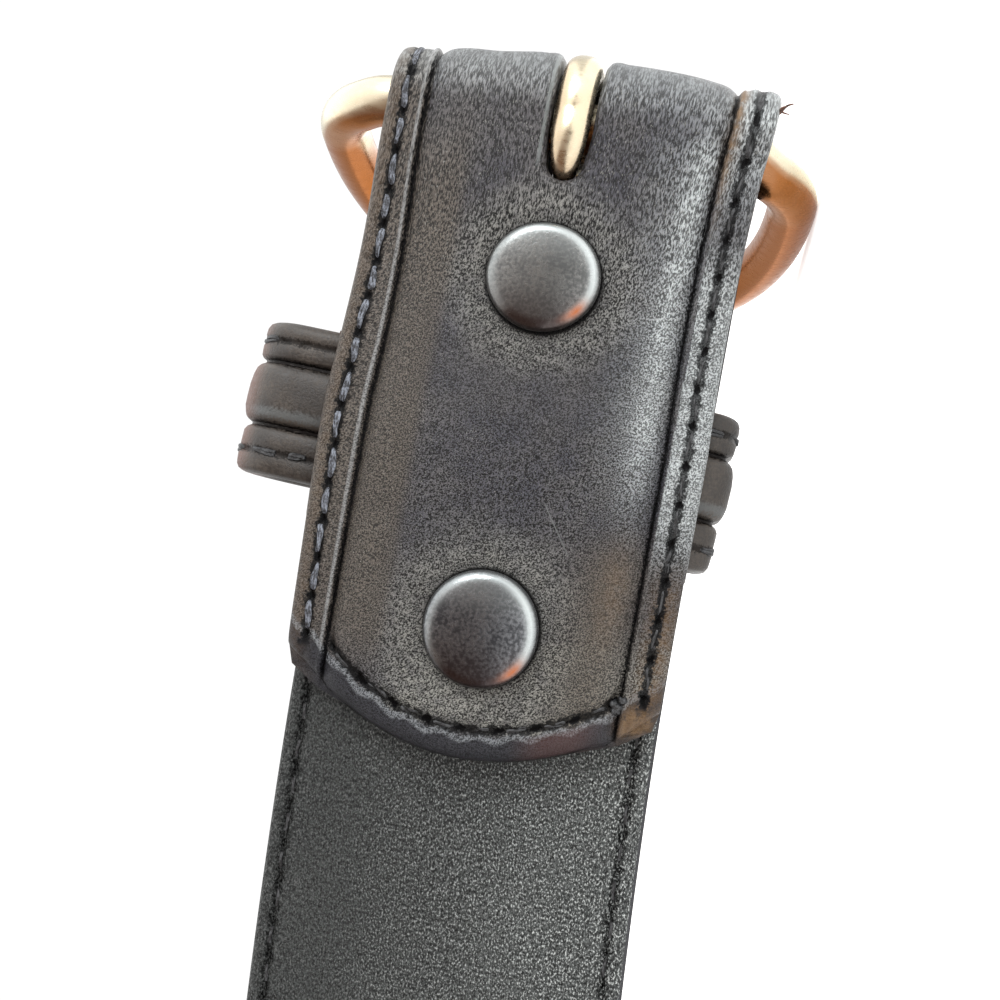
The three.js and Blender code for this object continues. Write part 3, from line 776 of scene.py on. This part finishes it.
def lay_stitches(name, starts, ends, lifts, rings, sides, plies, thick, finish,
                 laid_on=on_belt):
    """Stitches from start to end places on a surface. The plies lie side by side, drawn in and
    dipping at the holes, and no two stitches lie quite alike."""
    count = len(starts)
    t = np.linspace(-1, 1, rings)[None, None, :, None]
    ply = np.arange(plies)[None, :, None, None]
    angle = np.linspace(0, 2 * np.pi, sides, endpoint=False)[None, None, None, :]
    seed = np.arange(count)[:, None, None, None]
    spread = thick * 0.75 * (1 - 0.55 * t ** 4) if plies > 1 else 0.0
    wind = 1.3 * t + np.pi * ply + 0.8 * np.sin(seed * 2.3)
    swell = 1 + 0.12 * np.sin(seed * 1.9 + 5 * t + 2 * ply) + 0.06 * np.sin(seed + 13 * t)
    radius = thick * swell * np.sqrt(np.maximum(1 - 0.80 * t ** 6, 0.05))
    sway = 0.10 * np.sin(seed * 4.1) + 0.08 * np.sin(seed * 2.7 + 2.5 * t)
    side = spread * np.cos(wind) + radius * np.cos(angle) + sway
    rise = spread * 0.6 * np.sin(wind) + radius * np.sin(angle) - 0.65 * t ** 6 + 0.06
    middle = ((starts + ends) / 2)[:, None, None, None, :]
    half = ((ends - starts) / 2)[:, None, None, None, :] * (1 + 0.07 * np.sin(seed * 3.3))[..., None]
    way = half / np.linalg.norm(half, axis=-1, keepdims=True)
    cross = np.stack([-way[..., 1], way[..., 0]], axis=-1)
    flat = middle + half * t[..., None] + cross * side[..., None]
    lift = lifts[:, None, None, None] + rise
    lay = np.stack([np.broadcast_to(part, lift.shape) for part in (t * 3, angle, seed)], axis=-1)
    make_piece(name, laid_on(flat[..., 0], flat[..., 1], lift), [tube_faces(rings, sides, plies * count)],
               "belt", finish, values={"thread_lay": lay})


def row(marks, gap, aside):
    """Starts and ends of a row of stitches between hole marks, at a place aside of the line."""
    return [np.stack([way, aside(way) + 0 * way], axis=1) for way in (marks[:-1] + gap, marks[1:] - gap)]


def joined(rows):
    """Starts and ends of several rows in one."""
    return [np.concatenate(places) for places in zip(*rows)]


def leather_lift(spots):
    """Height of the leather's face at places along and across."""
    return leather_surface(spots[:, :1], spots[:, 1:])[0][:, 0]


def thread(name, dark, pale):
    """Waxed thread: a dark and a pale tone that wind slowly along its lay, with fuzz. On black
    thread the pale tone is a painted highlight.
    """
    finish, tree, shader = new_finish(name, {"Specular IOR Level": 0.5})
    lay = field(tree, "thread_lay")
    along, angle, _ = lay.parts()
    turns = ((along * 1.1 + angle) * 2.0).math("SINE")
    fuzz = noise(node(tree, "TexCoord", "Object"), 4200.0, 2.0, 0.55)
    shade = turns * 0.05 + (noise(lay, 1.6, stretch=(0.7, 1.5, 2.7)) * 0.6 + fuzz * 0.4)
    feed(shader, {
        "Base Color": shade.remap(0.42, 0.62).mix(dark, pale),
        "Roughness": fuzz.remap(0.3, 0.7, 0.38, 0.60),
        "Normal": shade.bump(0.8, 0.00006),
    })
    return finish


# On both black threads the pale grey tone is a painted highlight
thread_finish = thread("waxed_thread", (0.014, 0.015, 0.019, 1), (0.19, 0.21, 0.25, 1))
dark_thread_finish = thread("dark_thread", (0.004, 0.004, 0.005, 1), (0.055, 0.058, 0.062, 1))

first_hole = np.ceil((flap_end_run(17.4) + 1.4) / stitch_pitch)
flap_marks = stitch_pitch * np.arange(first_hole, 6)
strap_marks = stitch_pitch * np.arange(5, np.floor((tip_run - 27) / stitch_pitch) + 1)


def edge_stitches(marks):
    """Starts and ends of the stitches of both edge bands between marked holes."""
    return joined(row(marks, 0.32, lambda run: side * (half_width_at(run) - stitch_inward))
                  for side in (1, -1))


lip_marks = lip_pitch * np.arange(-4, 5)
lip_slope = flap_end_run(lip_marks + 0.5) - flap_end_run(lip_marks - 0.5)
lip_run = flap_end_run(lip_marks) + lip_inward * np.sqrt(1 + lip_slope ** 2)
lip_places = np.stack([lip_run, lip_marks], axis=1)
lip_gap = 0.13 * (lip_places[1:] - lip_places[:-1])
sides = edge_stitches(flap_marks)
starts, ends = joined([sides, (lip_places[:-1] + lip_gap, lip_places[1:] - lip_gap)])
middles = (starts + ends) / 2
lifts = leather_lift(middles)
lifts = lifts - 0.2 * (middles[:, 1] < -15) - 0.2 * (np.arange(len(starts)) >= len(sides[0]))
upper_row = middles[:, 1] > 16
for name, chosen, finish in (("upper_row", upper_row, thread_finish),
                             ("other_rows", ~upper_row, dark_thread_finish)):
    lay_stitches("flap_stitching_" + name, starts[chosen], ends[chosen], lifts[chosen], 12, 7, 2, 0.20,
                 finish)


def line_length(line):
    """Length along a line of places, up to each of them."""
    return sum_up(np.hypot(*np.diff(line, axis=0).T))


tip_slope = np.stack([np.gradient(tip_line[:, 1]), -np.gradient(tip_line[:, 0])], axis=1)
tip_row = tip_line + stitch_inward * tip_slope / np.hypot(*tip_slope.T)[:, None]
tip_row = tip_row[tip_row[:, 1] > 0]
tip_row = np.concatenate([tip_row, tip_row[::-1] * [1, -1]]) + [tip_run, 0]
length = line_length(tip_row)
marks = np.linspace(0, length[-1], int(round(length[-1] / stitch_pitch)) + 1)
starts, ends = joined([edge_stitches(strap_marks), [
    places_on(tip_row, length, spots) for spots in (marks[:-1] + 0.5, marks[1:] - 0.5)]])
lay_stitches("strap_stitching", starts, ends, leather_lift((starts + ends) / 2), 7, 6, 1, 0.44,
             thread_finish)


# Lining
# One strip of thinner pebbled leather glued and stitched to the back of the strap, from under the
# flap to the tip, and punched through with it.

lining_start = strap_run(17.6)
lining_half_width = 18.7
lining_stitch_inward = 1.75
lining_lift = -0.3
lining_stitch_shift = 1.3
lining_rows = merged_rows([
    np.arange(lining_start, tip_run - tip_span, 1.45), tip_rows(30, 0.06), *crowded[2:]], 0.2)
lining_inwards = [0, 0.12, 0.3, 0.6, 0.9, 1.15, 1.35, 1.55, 1.75, 1.95, 2.15, 2.4, 2.8, 3.6, 5.0, 7.2]
run, across = half_grid(lining_rows, lining_half_width, lining_inwards, np.linspace(0, 1, 9)[:-1])


def lining_surface(run, across):
    """Lift of the lining's face, below the strap's flesh side: rounded edge, sunken stitch line,
    and shallow creases that cross the strap near its edges."""
    inward, straight = inward_at(run, across, lining_half_width)
    thick = 1.2 - 0.55 * np.maximum(1 - inward / 0.7, 0) ** 2.2
    hole = hill(hole_gap(run + lining_stitch_shift, stitch_pitch), 0.7) * straight
    thick = thick - hill(inward - lining_stitch_inward, 0.35) * (0.30 + 0.25 * hole)
    thick -= 0.25 * np.maximum(1 - opening_gap(run, across) / 0.35, 0) ** 2
    crease = np.sin(run * 0.9 + 2 * np.sin(run * 0.23) + 0.5 * across)
    thick += 0.035 * crease * hill(inward - 4.5, 2.5) + 0.04 * uneven(run * 0.7, across)
    return lining_lift - thick, inward


places, zones = layer([(run, across), (run, -across)], lining_surface, [0.1, 6.0, 19.0], lining_lift, -0.45)
all_run, all_across, all_lift = places
open_rows = opening_half_width(lining_rows) > 0.02

lining_finish, tree, shader = new_finish("pebbled_lining_leather", {"Specular IOR Level": 0.45})
place = field(tree, "belt_place")
across_place, run_place, _ = place.parts()
small = noise(place, 4.6, 3.0, 0.65, (1.2, 0.8, 1.0))
waves = noise(place, 0.45, stretch=(1.0, 0.6, 1.0))
lively = (across_place + waves * 8.0).remap(16.0, 8.0, 0.30, 1.0)
base = noise(place, 0.08).mix((0.014, 0.016, 0.016, 1), (0.032, 0.035, 0.034, 1))
base = noise(place, 2.0).remap(0.35, 0.65, 0.5, 1.6).tint(base)
base = (small.remap(0.52, 0.68) * lively).mix(base, (0.26, 0.275, 0.27, 1))
# Painted light: the lining grows up to twice as bright towards its lower edge
base = across_place.remap(4.0, -14.0, 1.0, 2.0).tint(base)
base = (small.remap(0.45, 0.36, 0.0, 0.8) * lively).mix(base, (0.004, 0.004, 0.004, 1))
seam_gap = field(tree, "lining_zone").parts()[0].away(lining_stitch_inward)
seam = stitch_shadow(noise(place, 1.9), seam_gap, run_place + lining_stitch_shift,
                     stitch_pitch)
seam = seam * small.remap(0.40, 0.60, 1.0, 0.3)
relief = pebbles(place, 3.0, (1.0, 0.8, 1.0)) * 0.35 + small * 3.0 + waves * 3.0
feed(shader, {
    "Base Color": seam.mix(base, (0.003, 0.003, 0.003, 1)),
    "Metallic": seam.most(small.remap(0.52, 0.40, 0.0, 0.6)),
    "Roughness": small.remap(0.3, 0.75, 0.62, 0.38),
    "Normal": relief.bump(1.0, 0.00010),
})

make_piece("lining_strip", on_belt(*places), layer_faces(all_run.shape, across.shape[1], open_rows),
           "belt", lining_finish, ["lining"],
           {"belt_place": np.stack([all_across, all_run, all_lift], axis=-1), "lining_zone": zones})

marks = stitch_pitch * np.arange(np.ceil(lining_start / stitch_pitch), 263) - lining_stitch_shift
starts, ends = joined(row(marks, 0.6, lambda run: side * (lining_half_width - lining_stitch_inward))
                      for side in (1, -1))
lay_stitches("lining_stitching", starts, ends, np.full(len(starts), 1.02), 6, 6, 1, 0.26,
             dark_thread_finish, lambda run, across, lift: on_belt(run, across, -lift))


# Snaps
# Two domed caps with a satin black face, their posts riveted through the flap, and a plated stud
# under each on the lining.


def turned_faces(rings, sides):
    """Faces of a turned body whose first and last rings are points on its axis."""
    return quad_strips(np.arange(rings * sides).reshape(rings, sides), joined=True)


def turned_on_belt(name, profile, run, across, lift, side, sides, slot, finish, node_name, values=None,
                   sharp=50):
    """A body turned about the belt's outward direction, from its radius and height by ring."""
    radius, height = [np.array(v)[:, None] for v in zip(*profile)]
    angle = np.linspace(0, 2 * np.pi, sides, endpoint=False)[None, :]
    along = run + radius * np.cos(angle)
    up = across + radius * np.sin(angle) + 0 * height
    make_piece(name, on_belt(along, up, lift + side * (height + 0 * angle)),
               [turned_faces(len(profile), sides)], "belt", finish, [node_name], values, sharp)


cap_finish, tree, shader = new_finish("satin_black_cap", {
    "Metallic": 0.8, "Coat Weight": 0.4, "Coat Roughness": 0.2, "Specular IOR Level": 0.5})
place = node(tree, "TexCoord", "Object")
fine = noise(place, 3000.0, 2.0, 0.5)
speckle = fine * 0.6 + noise(place, 330.0, 5.0, 0.7) * 0.4
speckled = speckle.remap(0.40, 0.60)
dark = speckled.mix((0.030, 0.032, 0.037, 1), (0.120, 0.125, 0.135, 1))
# The upper cap's paler face is a painted reflection; the lower cap keeps the darker face
upper_cap_sheen = speckled.mix((0.085, 0.088, 0.088, 1), (0.175, 0.178, 0.174, 1))
face = place.parts()[0].remap(0.125, 0.135).mix(dark, upper_cap_sheen)
# Painted light on the caps: a pale rim highlight, shade on the lower part and a warm reflection on the rim
rim_highlight, rim_warm_reflection, cap_lower_shade = field(tree, "cap_rim").parts()
face = rim_highlight.mix(face, (0.46, 0.50, 0.50, 1))
face = cap_lower_shade.mix(face, (0.022, 0.009, 0.008, 1))
feed(shader, {
    "Base Color": rim_warm_reflection.mix(face, (0.34, 0.085, 0.012, 1)),
    "Roughness": speckle.remap(0.35, 0.65, 0.36, 0.26),
    "Normal": fine.bump(0.6, 0.00003),
})

stud_finish, tree, shader = new_finish("plated_stud", {"Metallic": 1.0})
dull = noise(node(tree, "TexCoord", "Object"), 500.0, 4.0)
feed(shader, {"Base Color": dull.mix((0.42, 0.40, 0.37, 1), (0.62, 0.60, 0.56, 1)),
              "Roughness": dull.remap(0.3, 0.7, 0.25, 0.5)})

cap_profile = [(0, -3.5), (1.9, -3.5), (1.9, 0.0), (5.0, -0.02), (5.45, 0.03), (5.62, 0.15),
               (5.70, 0.38), (5.71, 0.62), (5.66, 0.88), (5.54, 1.12), (5.36, 1.32), (5.12, 1.46),
               (4.82, 1.555), (4.6, 1.60), (4.3, 1.65), (3.6, 1.74), (2.5, 1.85), (1.3, 1.92), (0, 1.95)]
rim_radius, rim_height = [np.array(v)[:, None] for v in zip(*cap_profile)]
cap_sides = 64
round_cap = np.linspace(0, 2 * np.pi, cap_sides, endpoint=False)[None, :]
cap_radius = 5.7
stud_gap = 0.3
lining_depth = 1.8
strap_depth = 4.4
on_rim = hill(rim_radius - 5.05, 0.40) * (rim_height > 1.0)
under = fade(-np.cos(round_cap), 0.66, 0.90)


def toward(angle, width):
    """Share of the rim that looks one way, by its angle."""
    return hill(np.mod(round_cap - angle + np.pi, 2 * np.pi) - np.pi, width)


rim_right = toward(-1.40, 0.9)
# Painted highlight on the rim's right and the upper part, shade on the lower part, warm reflection at lower
# right
cap_rise = rim_radius * np.cos(round_cap) / cap_radius
cap_highlight = on_rim * (0.35 + 0.65 * rim_right) * (1 - under) + 0.22 * fade(cap_rise, 0.1, 0.8)
cap_shade = np.maximum(0.85 * under * fade(rim_radius, 3.7, 5.0),
                      0.55 * fade(-cap_rise, 0.0, 0.85) * (1 - on_rim * rim_right))
cap_rim = np.stack([cap_highlight, on_rim * toward(-2.27, 0.24), cap_shade], axis=-1)
for (name, along), cap_spot in zip(snap_along.items(), cap_spots):
    turned_on_belt("cap_" + name, cap_profile, *cap_spot, leather_thickness, 1, cap_sides, "black_cap",
                   cap_finish, "snap_cap_" + name, {"cap_rim": cap_rim}, 70)
    room = np.interp(along + np.array([-4.5, 4.5]), flap_along, flap_height).min()
    tall = room - leather_thickness - stud_gap - strap_depth
    stud_profile = [(0, 0), (4.3, 0), (4.5, 0.15), (4.5, tall - 0.5), (4.35, tall - 0.15),
                    (4.0, tall), (3.1, tall), (2.8, tall - 0.2), (2.8, tall - 1.2), (0, tall - 1.2)]
    turned_on_belt("stud_" + name, stud_profile, strap_run(along), 0.0, -lining_depth, -1, 48, "snap_metal",
                   stud_finish, "snap_stud_" + name)


# Keeper loop
# A band of the same leather sewn into a loop round the strap, with two stitched edges and a raised
# middle. It is roomy to the front, where the free end of the belt passes.

keeper_places = np.array([0, 0.12, 0.35, 0.8, 1.4, 1.75, 2.0, 2.25, 2.6, 3.1, 3.5, 3.75, 4.0, 4.25, 4.5,
                          4.9, 5.6, 6.6, 7.8, 8.8, 9.5, 9.9, 10.15, 10.4, 10.65, 10.9, 11.3, 12.2,
                          12.8, 13.1, 13.4, 13.7, 14.3, 14.8, 15.2, 15.4, 15.5])
keeper_pitch = 3.1
keeper_rows = (2.0, 13.2)
keeper_along = 40.3
keeper_top = 8.3
keeper_stretch = 1.035


def keeper_line():
    """Inner line of the loop, seen along the belt: a rectangle with four unlike rounded corners.
    Gives the distance round, and up, out and the angle of the outward normal at it."""
    corners = [(27.1, 1.15, 3.0, -90), (27.1, 10.15, 3.5, 0), (-19.5, 10.15, 2.5, 90),
               (-19.5, 1.15, 0.9, 180)]
    line = []
    for across, level, radius, start in corners:
        angle = np.radians(np.linspace(start, start + 90, 13))
        line.append(np.stack([
            across - np.sign(across) * radius + radius * np.cos(angle),
            level + (radius if level < 5 else -radius) + radius * np.sin(angle),
            angle,
        ], axis=1))
    line = np.concatenate(line)
    line = np.concatenate([line, line[:1] + [0, 0, 2 * np.pi]])
    length = line_length(line[:, :2])
    dense = np.sort(np.concatenate([length, np.arange(0.5, length[-1], 0.9)]))
    return dense, places_on(line, length, dense), length[-1]


keeper_round, keeper_inside, keeper_length = keeper_line()


def on_keeper(way, place, lift):
    """World places in metres of points round the loop, down its width and above its inner face,
    the loop turned slightly about the belt's outward direction."""
    up, out, turn = np.moveaxis(places_on(keeper_inside, keeper_round, way % keeper_length), -1, 0)
    x = keeper_top - keeper_stretch * place
    z = up + lift * np.cos(turn)
    tilt = np.radians(2.3)
    return np.stack([
        bar_place[0] + bar_along - keeper_along + x * np.cos(tilt) + z * np.sin(tilt),
        bar_place[1] + (out + lift * np.sin(turn)),
        bar_place[2] - x * np.sin(tilt) + z * np.cos(tilt),
    ], axis=-1) / 1000


def keeper_surface(way, place):
    """Thickness over the inner face: two crowned bands, two grooves and a raised middle, less the
    stitch channels, with slow waves round the loop."""
    places = np.array([0, 0.15, 0.5, 1.2, 3.0, 3.7, 4.1, 4.55, 5.5, 7.4, 9.2, 10.1, 10.5, 10.95, 12, 14.2,
                       15.0, 15.35, 15.5])
    thick = np.array([0.8, 1.35, 1.75, 1.95, 1.98, 1.80, 1.20, 1.85, 2.28, 2.42, 2.28, 1.85, 1.20,
                      1.80, 1.98, 1.95, 1.75, 1.35, 0.8])
    lift = smooth_through(place, places, thick)
    for down in keeper_rows:
        hole = hill(hole_gap(way + down, keeper_pitch), 0.5)
        lift = lift - hill(place - down, 0.38) * (0.20 + 0.30 * hole)
    return lift + 0.06 * uneven(way * 1.6, place * 2)


def alone(values):
    """A field whose first part is the values."""
    return np.stack([values, 0 * values, 0 * values], axis=-1)


way, place = np.meshgrid(keeper_round[:-1], keeper_places, indexing="ij")
lift = keeper_surface(way, place)
inner_places = [15.5, 15.3, 14.0, 8.0, 1.5, 0.2, 0.0]
inner_lifts = [0.35, 0.0, 0.0, 0.0, 0.0, 0.0, 0.35]
way = np.concatenate([way, np.repeat(way[:, :1], len(inner_places), axis=1)], axis=1)
place, lift = [np.concatenate([face, np.repeat([inner], len(way), axis=0)], axis=1)
               for face, inner in ((place, inner_places), (lift, inner_lifts))]
index = np.arange(way.size).reshape(way.shape)

keeper_finish, tree, shader = new_finish("keeper_leather", {
    "Coat Weight": 0.12, "Coat Roughness": 0.35, "Specular IOR Level": 0.5})
metres = node(tree, "TexCoord", "Object")
spot = metres.vector("MULTIPLY", (1000, 1000, 1000))
fine = noise(spot, 3.6, 4.0, 0.65)
base = noise(spot, 0.22).remap(0.35, 0.7).mix((0.020, 0.016, 0.013, 1), (0.046, 0.037, 0.029, 1))
base = fine.remap(0.35, 0.65, 0.6, 1.4).tint(base)
down = field(tree, "keeper_zone").parts()[0] + (fine - 0.5) * 1.4
stitched = down.away(7.6).away(5.6).remap(0.50, 0.22, 0.0, 0.75)
grooved = down.away(7.3).away(3.2).remap(0.38, 0.15, 0.0, 0.9)
unlit = stitched.most(grooved)
# Painted highlight along the lower edge of the raised middle
base = down.away(9.3).remap(0.75, 0.15, 0.0, 0.5).mix(base, (0.12, 0.135, 0.14, 1))
# Painted warm reflection along the top of the loop
outer_end_warm_reflection = metres.parts()[2].remap(0.0523, 0.0547, 0.0, 0.80)
base = outer_end_warm_reflection.mix(base, (0.105, 0.033, 0.015, 1))
feed(shader, {
    "Base Color": unlit.mix(base, (0.004, 0.003, 0.003, 1)),
    "Metallic": unlit,
    "Roughness": fine.remap(0.3, 0.7, 0.36, 0.60),
    "Normal": (pebbles(spot, 2.0, (1.0, 1.0, 1.0)) * 0.15 + fine).bump(0.9, 0.00008),
})

make_piece("keeper_band", on_keeper(way, place, lift),
           [quad_strips(np.concatenate([index, index[:1]]), joined=True)], "belt",
           keeper_finish, ["keeper_loop"], {"keeper_zone": alone(place)})

keeper_marks = keeper_pitch * np.arange(1, int(keeper_length / keeper_pitch) + 1)
starts, ends = joined(row(keeper_marks - down, 0.4, lambda way: down) for down in keeper_rows)
lay_stitches("keeper_stitching", starts, ends, keeper_surface(*((starts + ends) / 2).T), 8, 6, 2, 0.24,
             dark_thread_finish, laid_on=on_keeper)


# Buckle frame
# A rod of plated brass bent to a D, with its straight heel bar in the fold of the leather and its
# ends soldered behind it. Its orange, away from the crest and along the arms, is a painted warm reflection.

rod_radius = 2.6
rod_sides = 28
bend_radius = 7.4
frame_half_width = 24.4
frame_angle = np.radians(78)
depth_way = np.array([-np.cos(frame_angle), np.sin(frame_angle), 0])
down_way = np.array([0, 0, -1.0])
face_way = np.cross(depth_way, down_way)


def frame_middle_line():
    """Middle line of the rod: straight heel, quarter circle bends and arms that follow a rounded
    oval to the middle of the far end."""
    turn = np.linspace(0, np.pi / 2, 18)
    bend = np.stack([bend_radius * (1 - np.cos(turn)),
                     frame_half_width - bend_radius * (1 - np.sin(turn))], axis=1)
    turn = np.linspace(0, np.pi / 2, 90)[1:]
    arm = np.stack([bend_radius + 35.6 * np.sin(turn) ** (2 / 2.2),
                    frame_half_width * np.maximum(np.cos(turn), 0) ** (2 / 2.2)], axis=1)
    heel = np.stack([np.zeros(12), np.linspace(0, 17.0, 13)[:-1]], axis=1)
    half = np.concatenate([heel, bend, arm])
    whole = np.concatenate([half, half[1:-1][::-1] * [1, -1], half[:1]])
    length = line_length(whole)
    return places_on(whole, length, np.linspace(0, length[-1], 241)[:-1])


def swept(middle, side_way, radii, sides, closed, power=2.0):
    """Points of a section carried along a flat middle line: in the line's plane across it, and out
    of the plane, as a rounded oval with a radius for each way."""
    step = np.roll(middle, -1, axis=0) - np.roll(middle, 1, axis=0)
    if not closed:
        step = np.gradient(middle, axis=0)
    step = step / np.linalg.norm(step, axis=1, keepdims=True)
    angle = np.linspace(0, 2 * np.pi, sides, endpoint=False)
    flat, out = [np.sign(v) * np.abs(v) ** (2 / power) for v in (np.cos(angle), np.sin(angle))]
    flat, out = [(radius[:, None] * shape)[..., None] for radius, shape in zip(radii, (flat, out))]
    return middle[:, None, :] + np.cross(step, side_way)[:, None, :] * flat + side_way * out


nickel_finish, tree, shader = new_finish("worn_nickel", {"Metallic": 1.0})
place = node(tree, "TexCoord", "Object")
tarnish = noise(place, 90.0, 4.0)
scuff = noise(place, 1500.0, stretch=(1.0, 1.0, 0.25))
# The orange is a painted warm reflection, blotched a little by the tarnish
warm_reflection_share = field(tree, "worn_warm").parts()[0] + (tarnish - 0.5) * 0.5
pale = tarnish.remap(0.35, 0.7).mix((0.68, 0.63, 0.50, 1), (0.60, 0.53, 0.38, 1))
feed(shader, {
    "Base Color": warm_reflection_share.remap(0.0, 1.0).mix(pale, (0.27, 0.085, 0.012, 1)),
    "Roughness": scuff.remap(0.3, 0.75, 0.20, 0.36),
    "Normal": scuff.bump(0.35, 0.00002),
})

line = frame_middle_line()
rod_middle = line[:, :1] * depth_way + (line[:, 1:] - 1.25) * down_way + bar_place
rod_middle[:, 0] += fade(line[:, 0], 0.1, 1.6) * (0.02 * (rod_middle[:, 2] - bar_place[2]) - 0.7)
rod = np.full(len(line), rod_radius)
points = swept(rod_middle, face_way, (rod, rod), rod_sides, True)
# Painted warm reflection: on the sides facing away from the crest and along the arms, less at the far end
facing = np.einsum("ijk,k->ij", points - rod_middle[:, None], [0.93, -0.12, 0.0]) / rod_radius
warm_from = np.where(line[:, 1:] < 0, 0.30, -0.30)
warm_reflection = 0.80 * fade(-facing, warm_from, warm_from + 0.40) + 0.85 * fade(line[:, :1], 6, 13)
warm_reflection = warm_reflection * (1 - 0.55 * fade(line[:, :1], 18, 32))
index = np.arange(len(line) * rod_sides).reshape(-1, rod_sides)
rod_faces = quad_strips(np.concatenate([index, index[:1]]), joined=True)
make_piece("buckle_rod", points / 1000, [rod_faces], "frame", nickel_finish,
           ["buckle_frame"], {"worn_warm": alone(warm_reflection)})


# Prong
# A tapered round prong of the same metal. Its root is bent round the heel bar into an eye, and its
# point lies over the end of the frame.

prong_sides = 24
prong_reach = 46.6
eye_steps = 73


def prong_middle_line():
    """Middle line in depth and height: round the bar from under the shank to its top, then a
    cranked shank to the end of the frame."""
    turn = np.radians(np.linspace(45, -270, eye_steps))
    reach = 4.525 + 1.15 * np.maximum(np.cos(turn + np.radians(115)), 0) ** 2
    reach = reach + 1.70 * fade(-turn, np.radians(185), np.radians(245))
    eye = np.stack([reach * np.cos(turn), reach * np.sin(turn)], axis=1)
    depths = np.array([0, 3.0, 6.0, 9.0, 12.0, 15.0, 18.0, 24.0, 34.0, 43.0, prong_reach])
    heights = np.array([6.15, 5.45, 4.10, 2.95, 2.95, 3.85, 4.42, 4.45, 4.42, 4.35, 4.25])
    depth = np.linspace(0.35, prong_reach, 110)
    return np.concatenate([eye, np.stack([depth, smooth_through(depth, depths, heights)], axis=1)])


def rounded_end(gap):
    """Share of the thickness towards a round end, by a gap that is none where the rounding starts."""
    return np.sqrt(np.clip(1 - np.clip(gap, 0, 1) ** 2, 0.02, 1))


line = prong_middle_line()
middle = line[:, :1] * depth_way + line[:, 1:] * face_way + bar_place
order = np.arange(len(line))
far = np.clip(line[:, 0] - 6, 0, 40.6) / 40.6 * (order >= eye_steps)
ends = rounded_end((line[:, 0] - 44.4) / 2.25), rounded_end((3 - order) / 3.2)
place_along = order - (eye_steps - 60)
slim = 1 - 0.52 * hill(place_along - 60, 8)
thick = (1.55 - 0.10 * far) * ends[0] * ends[1]
wide = (1.88 - 0.18 * far) * ends[0] * ends[1] * slim
points = swept(middle, down_way, (thick, wide), prong_sides, False, 2.3)
left = (points - middle[:, None])[..., 2] / 1.9
# Painted warm reflection: more on the upper side and near the end of the eye
warm_reflection = 0.08 + 0.22 * fade(left, 0.1, 0.9) + 0.6 * hill(place_along[:, None] - 58, 6)
make_piece("prong_rod", points / 1000, [tube_faces(len(line), prong_sides, 1)], "prong",
           nickel_finish, ["buckle_tongue"], {"worn_warm": alone(warm_reflection)})


# Thread ends
# The row of the flap is tied off in a knot at the lower corner, and a frayed end stands out of the
# band at the crest. The keeper has a few loose fibres.

turn = np.radians([15, 75, 135, 105])
arms = np.stack([np.cos(turn), np.sin(turn)], axis=1) * np.array([[0.8], [0.75], [0.7], [0.5]])
knot_place = np.array([[-62.2, -14.6]]) + np.array([[0, 0], [0.1, 0.1], [0, 0], [0.9, -0.5]])
lifts = leather_lift(knot_place) + [0.25, 0.35, 0.45, 0.1]
lay_stitches("knot", knot_place - arms, knot_place + arms, lifts, 12, 10, 1, 0.34, dark_thread_finish)

frayed_finish = thread("frayed_thread", (0.020, 0.009, 0.006, 1), (0.20, 0.085, 0.050, 1))
belt_end = on_belt(np.array([-2.6]), np.array([-19.0]), np.array([1.6]))[0] * 1000
keeper_end = on_keeper(np.array([keeper_length - 4.0]), np.array([0.3]), np.array([1.6]))[0] * 1000
fibres = ((belt_end, (0.50, -0.25, -0.83), 1.7, 0.20), (belt_end, (0.75, -0.30, -0.60), 1.2, 0.17),
          (belt_end, (0.30, -0.20, -0.95), 1.3, 0.14), (keeper_end, (0.9, -0.3, 0.3), 0.9, 0.14),
          (keeper_end, (0.8, -0.5, -0.4), 0.7, 0.12))
fibre_rings, fibre_sides = 14, 7
points, lay = [], []
for seed, (start, way, long, thick) in enumerate(fibres):
    t = np.linspace(0, 1, fibre_rings)[:, None]
    bend = np.concatenate([np.sin(2.6 * t + seed), np.cos(2.1 * t + 2 * seed), np.sin(3.1 * t)], axis=1)
    middle = start - 0.3 * np.array(way) + long * t * np.array(way) + 0.22 * long * t * bend
    taper = thick * (1 - 0.6 * t[:, 0] ** 2)
    points.append(swept(middle, np.array([0.1, -0.98, 0.17]), (taper, taper), fibre_sides, False))
    step = np.arange(1.0 * fibre_sides) + 0 * t
    lay.append(np.stack([t * 3 + 0 * step, step, seed + 0 * step], axis=-1))
make_piece("frayed_ends", np.stack(points) / 1000, [tube_faces(fibre_rings, fibre_sides, len(fibres))],
           "belt", frayed_finish, values={"thread_lay": np.stack(lay)})
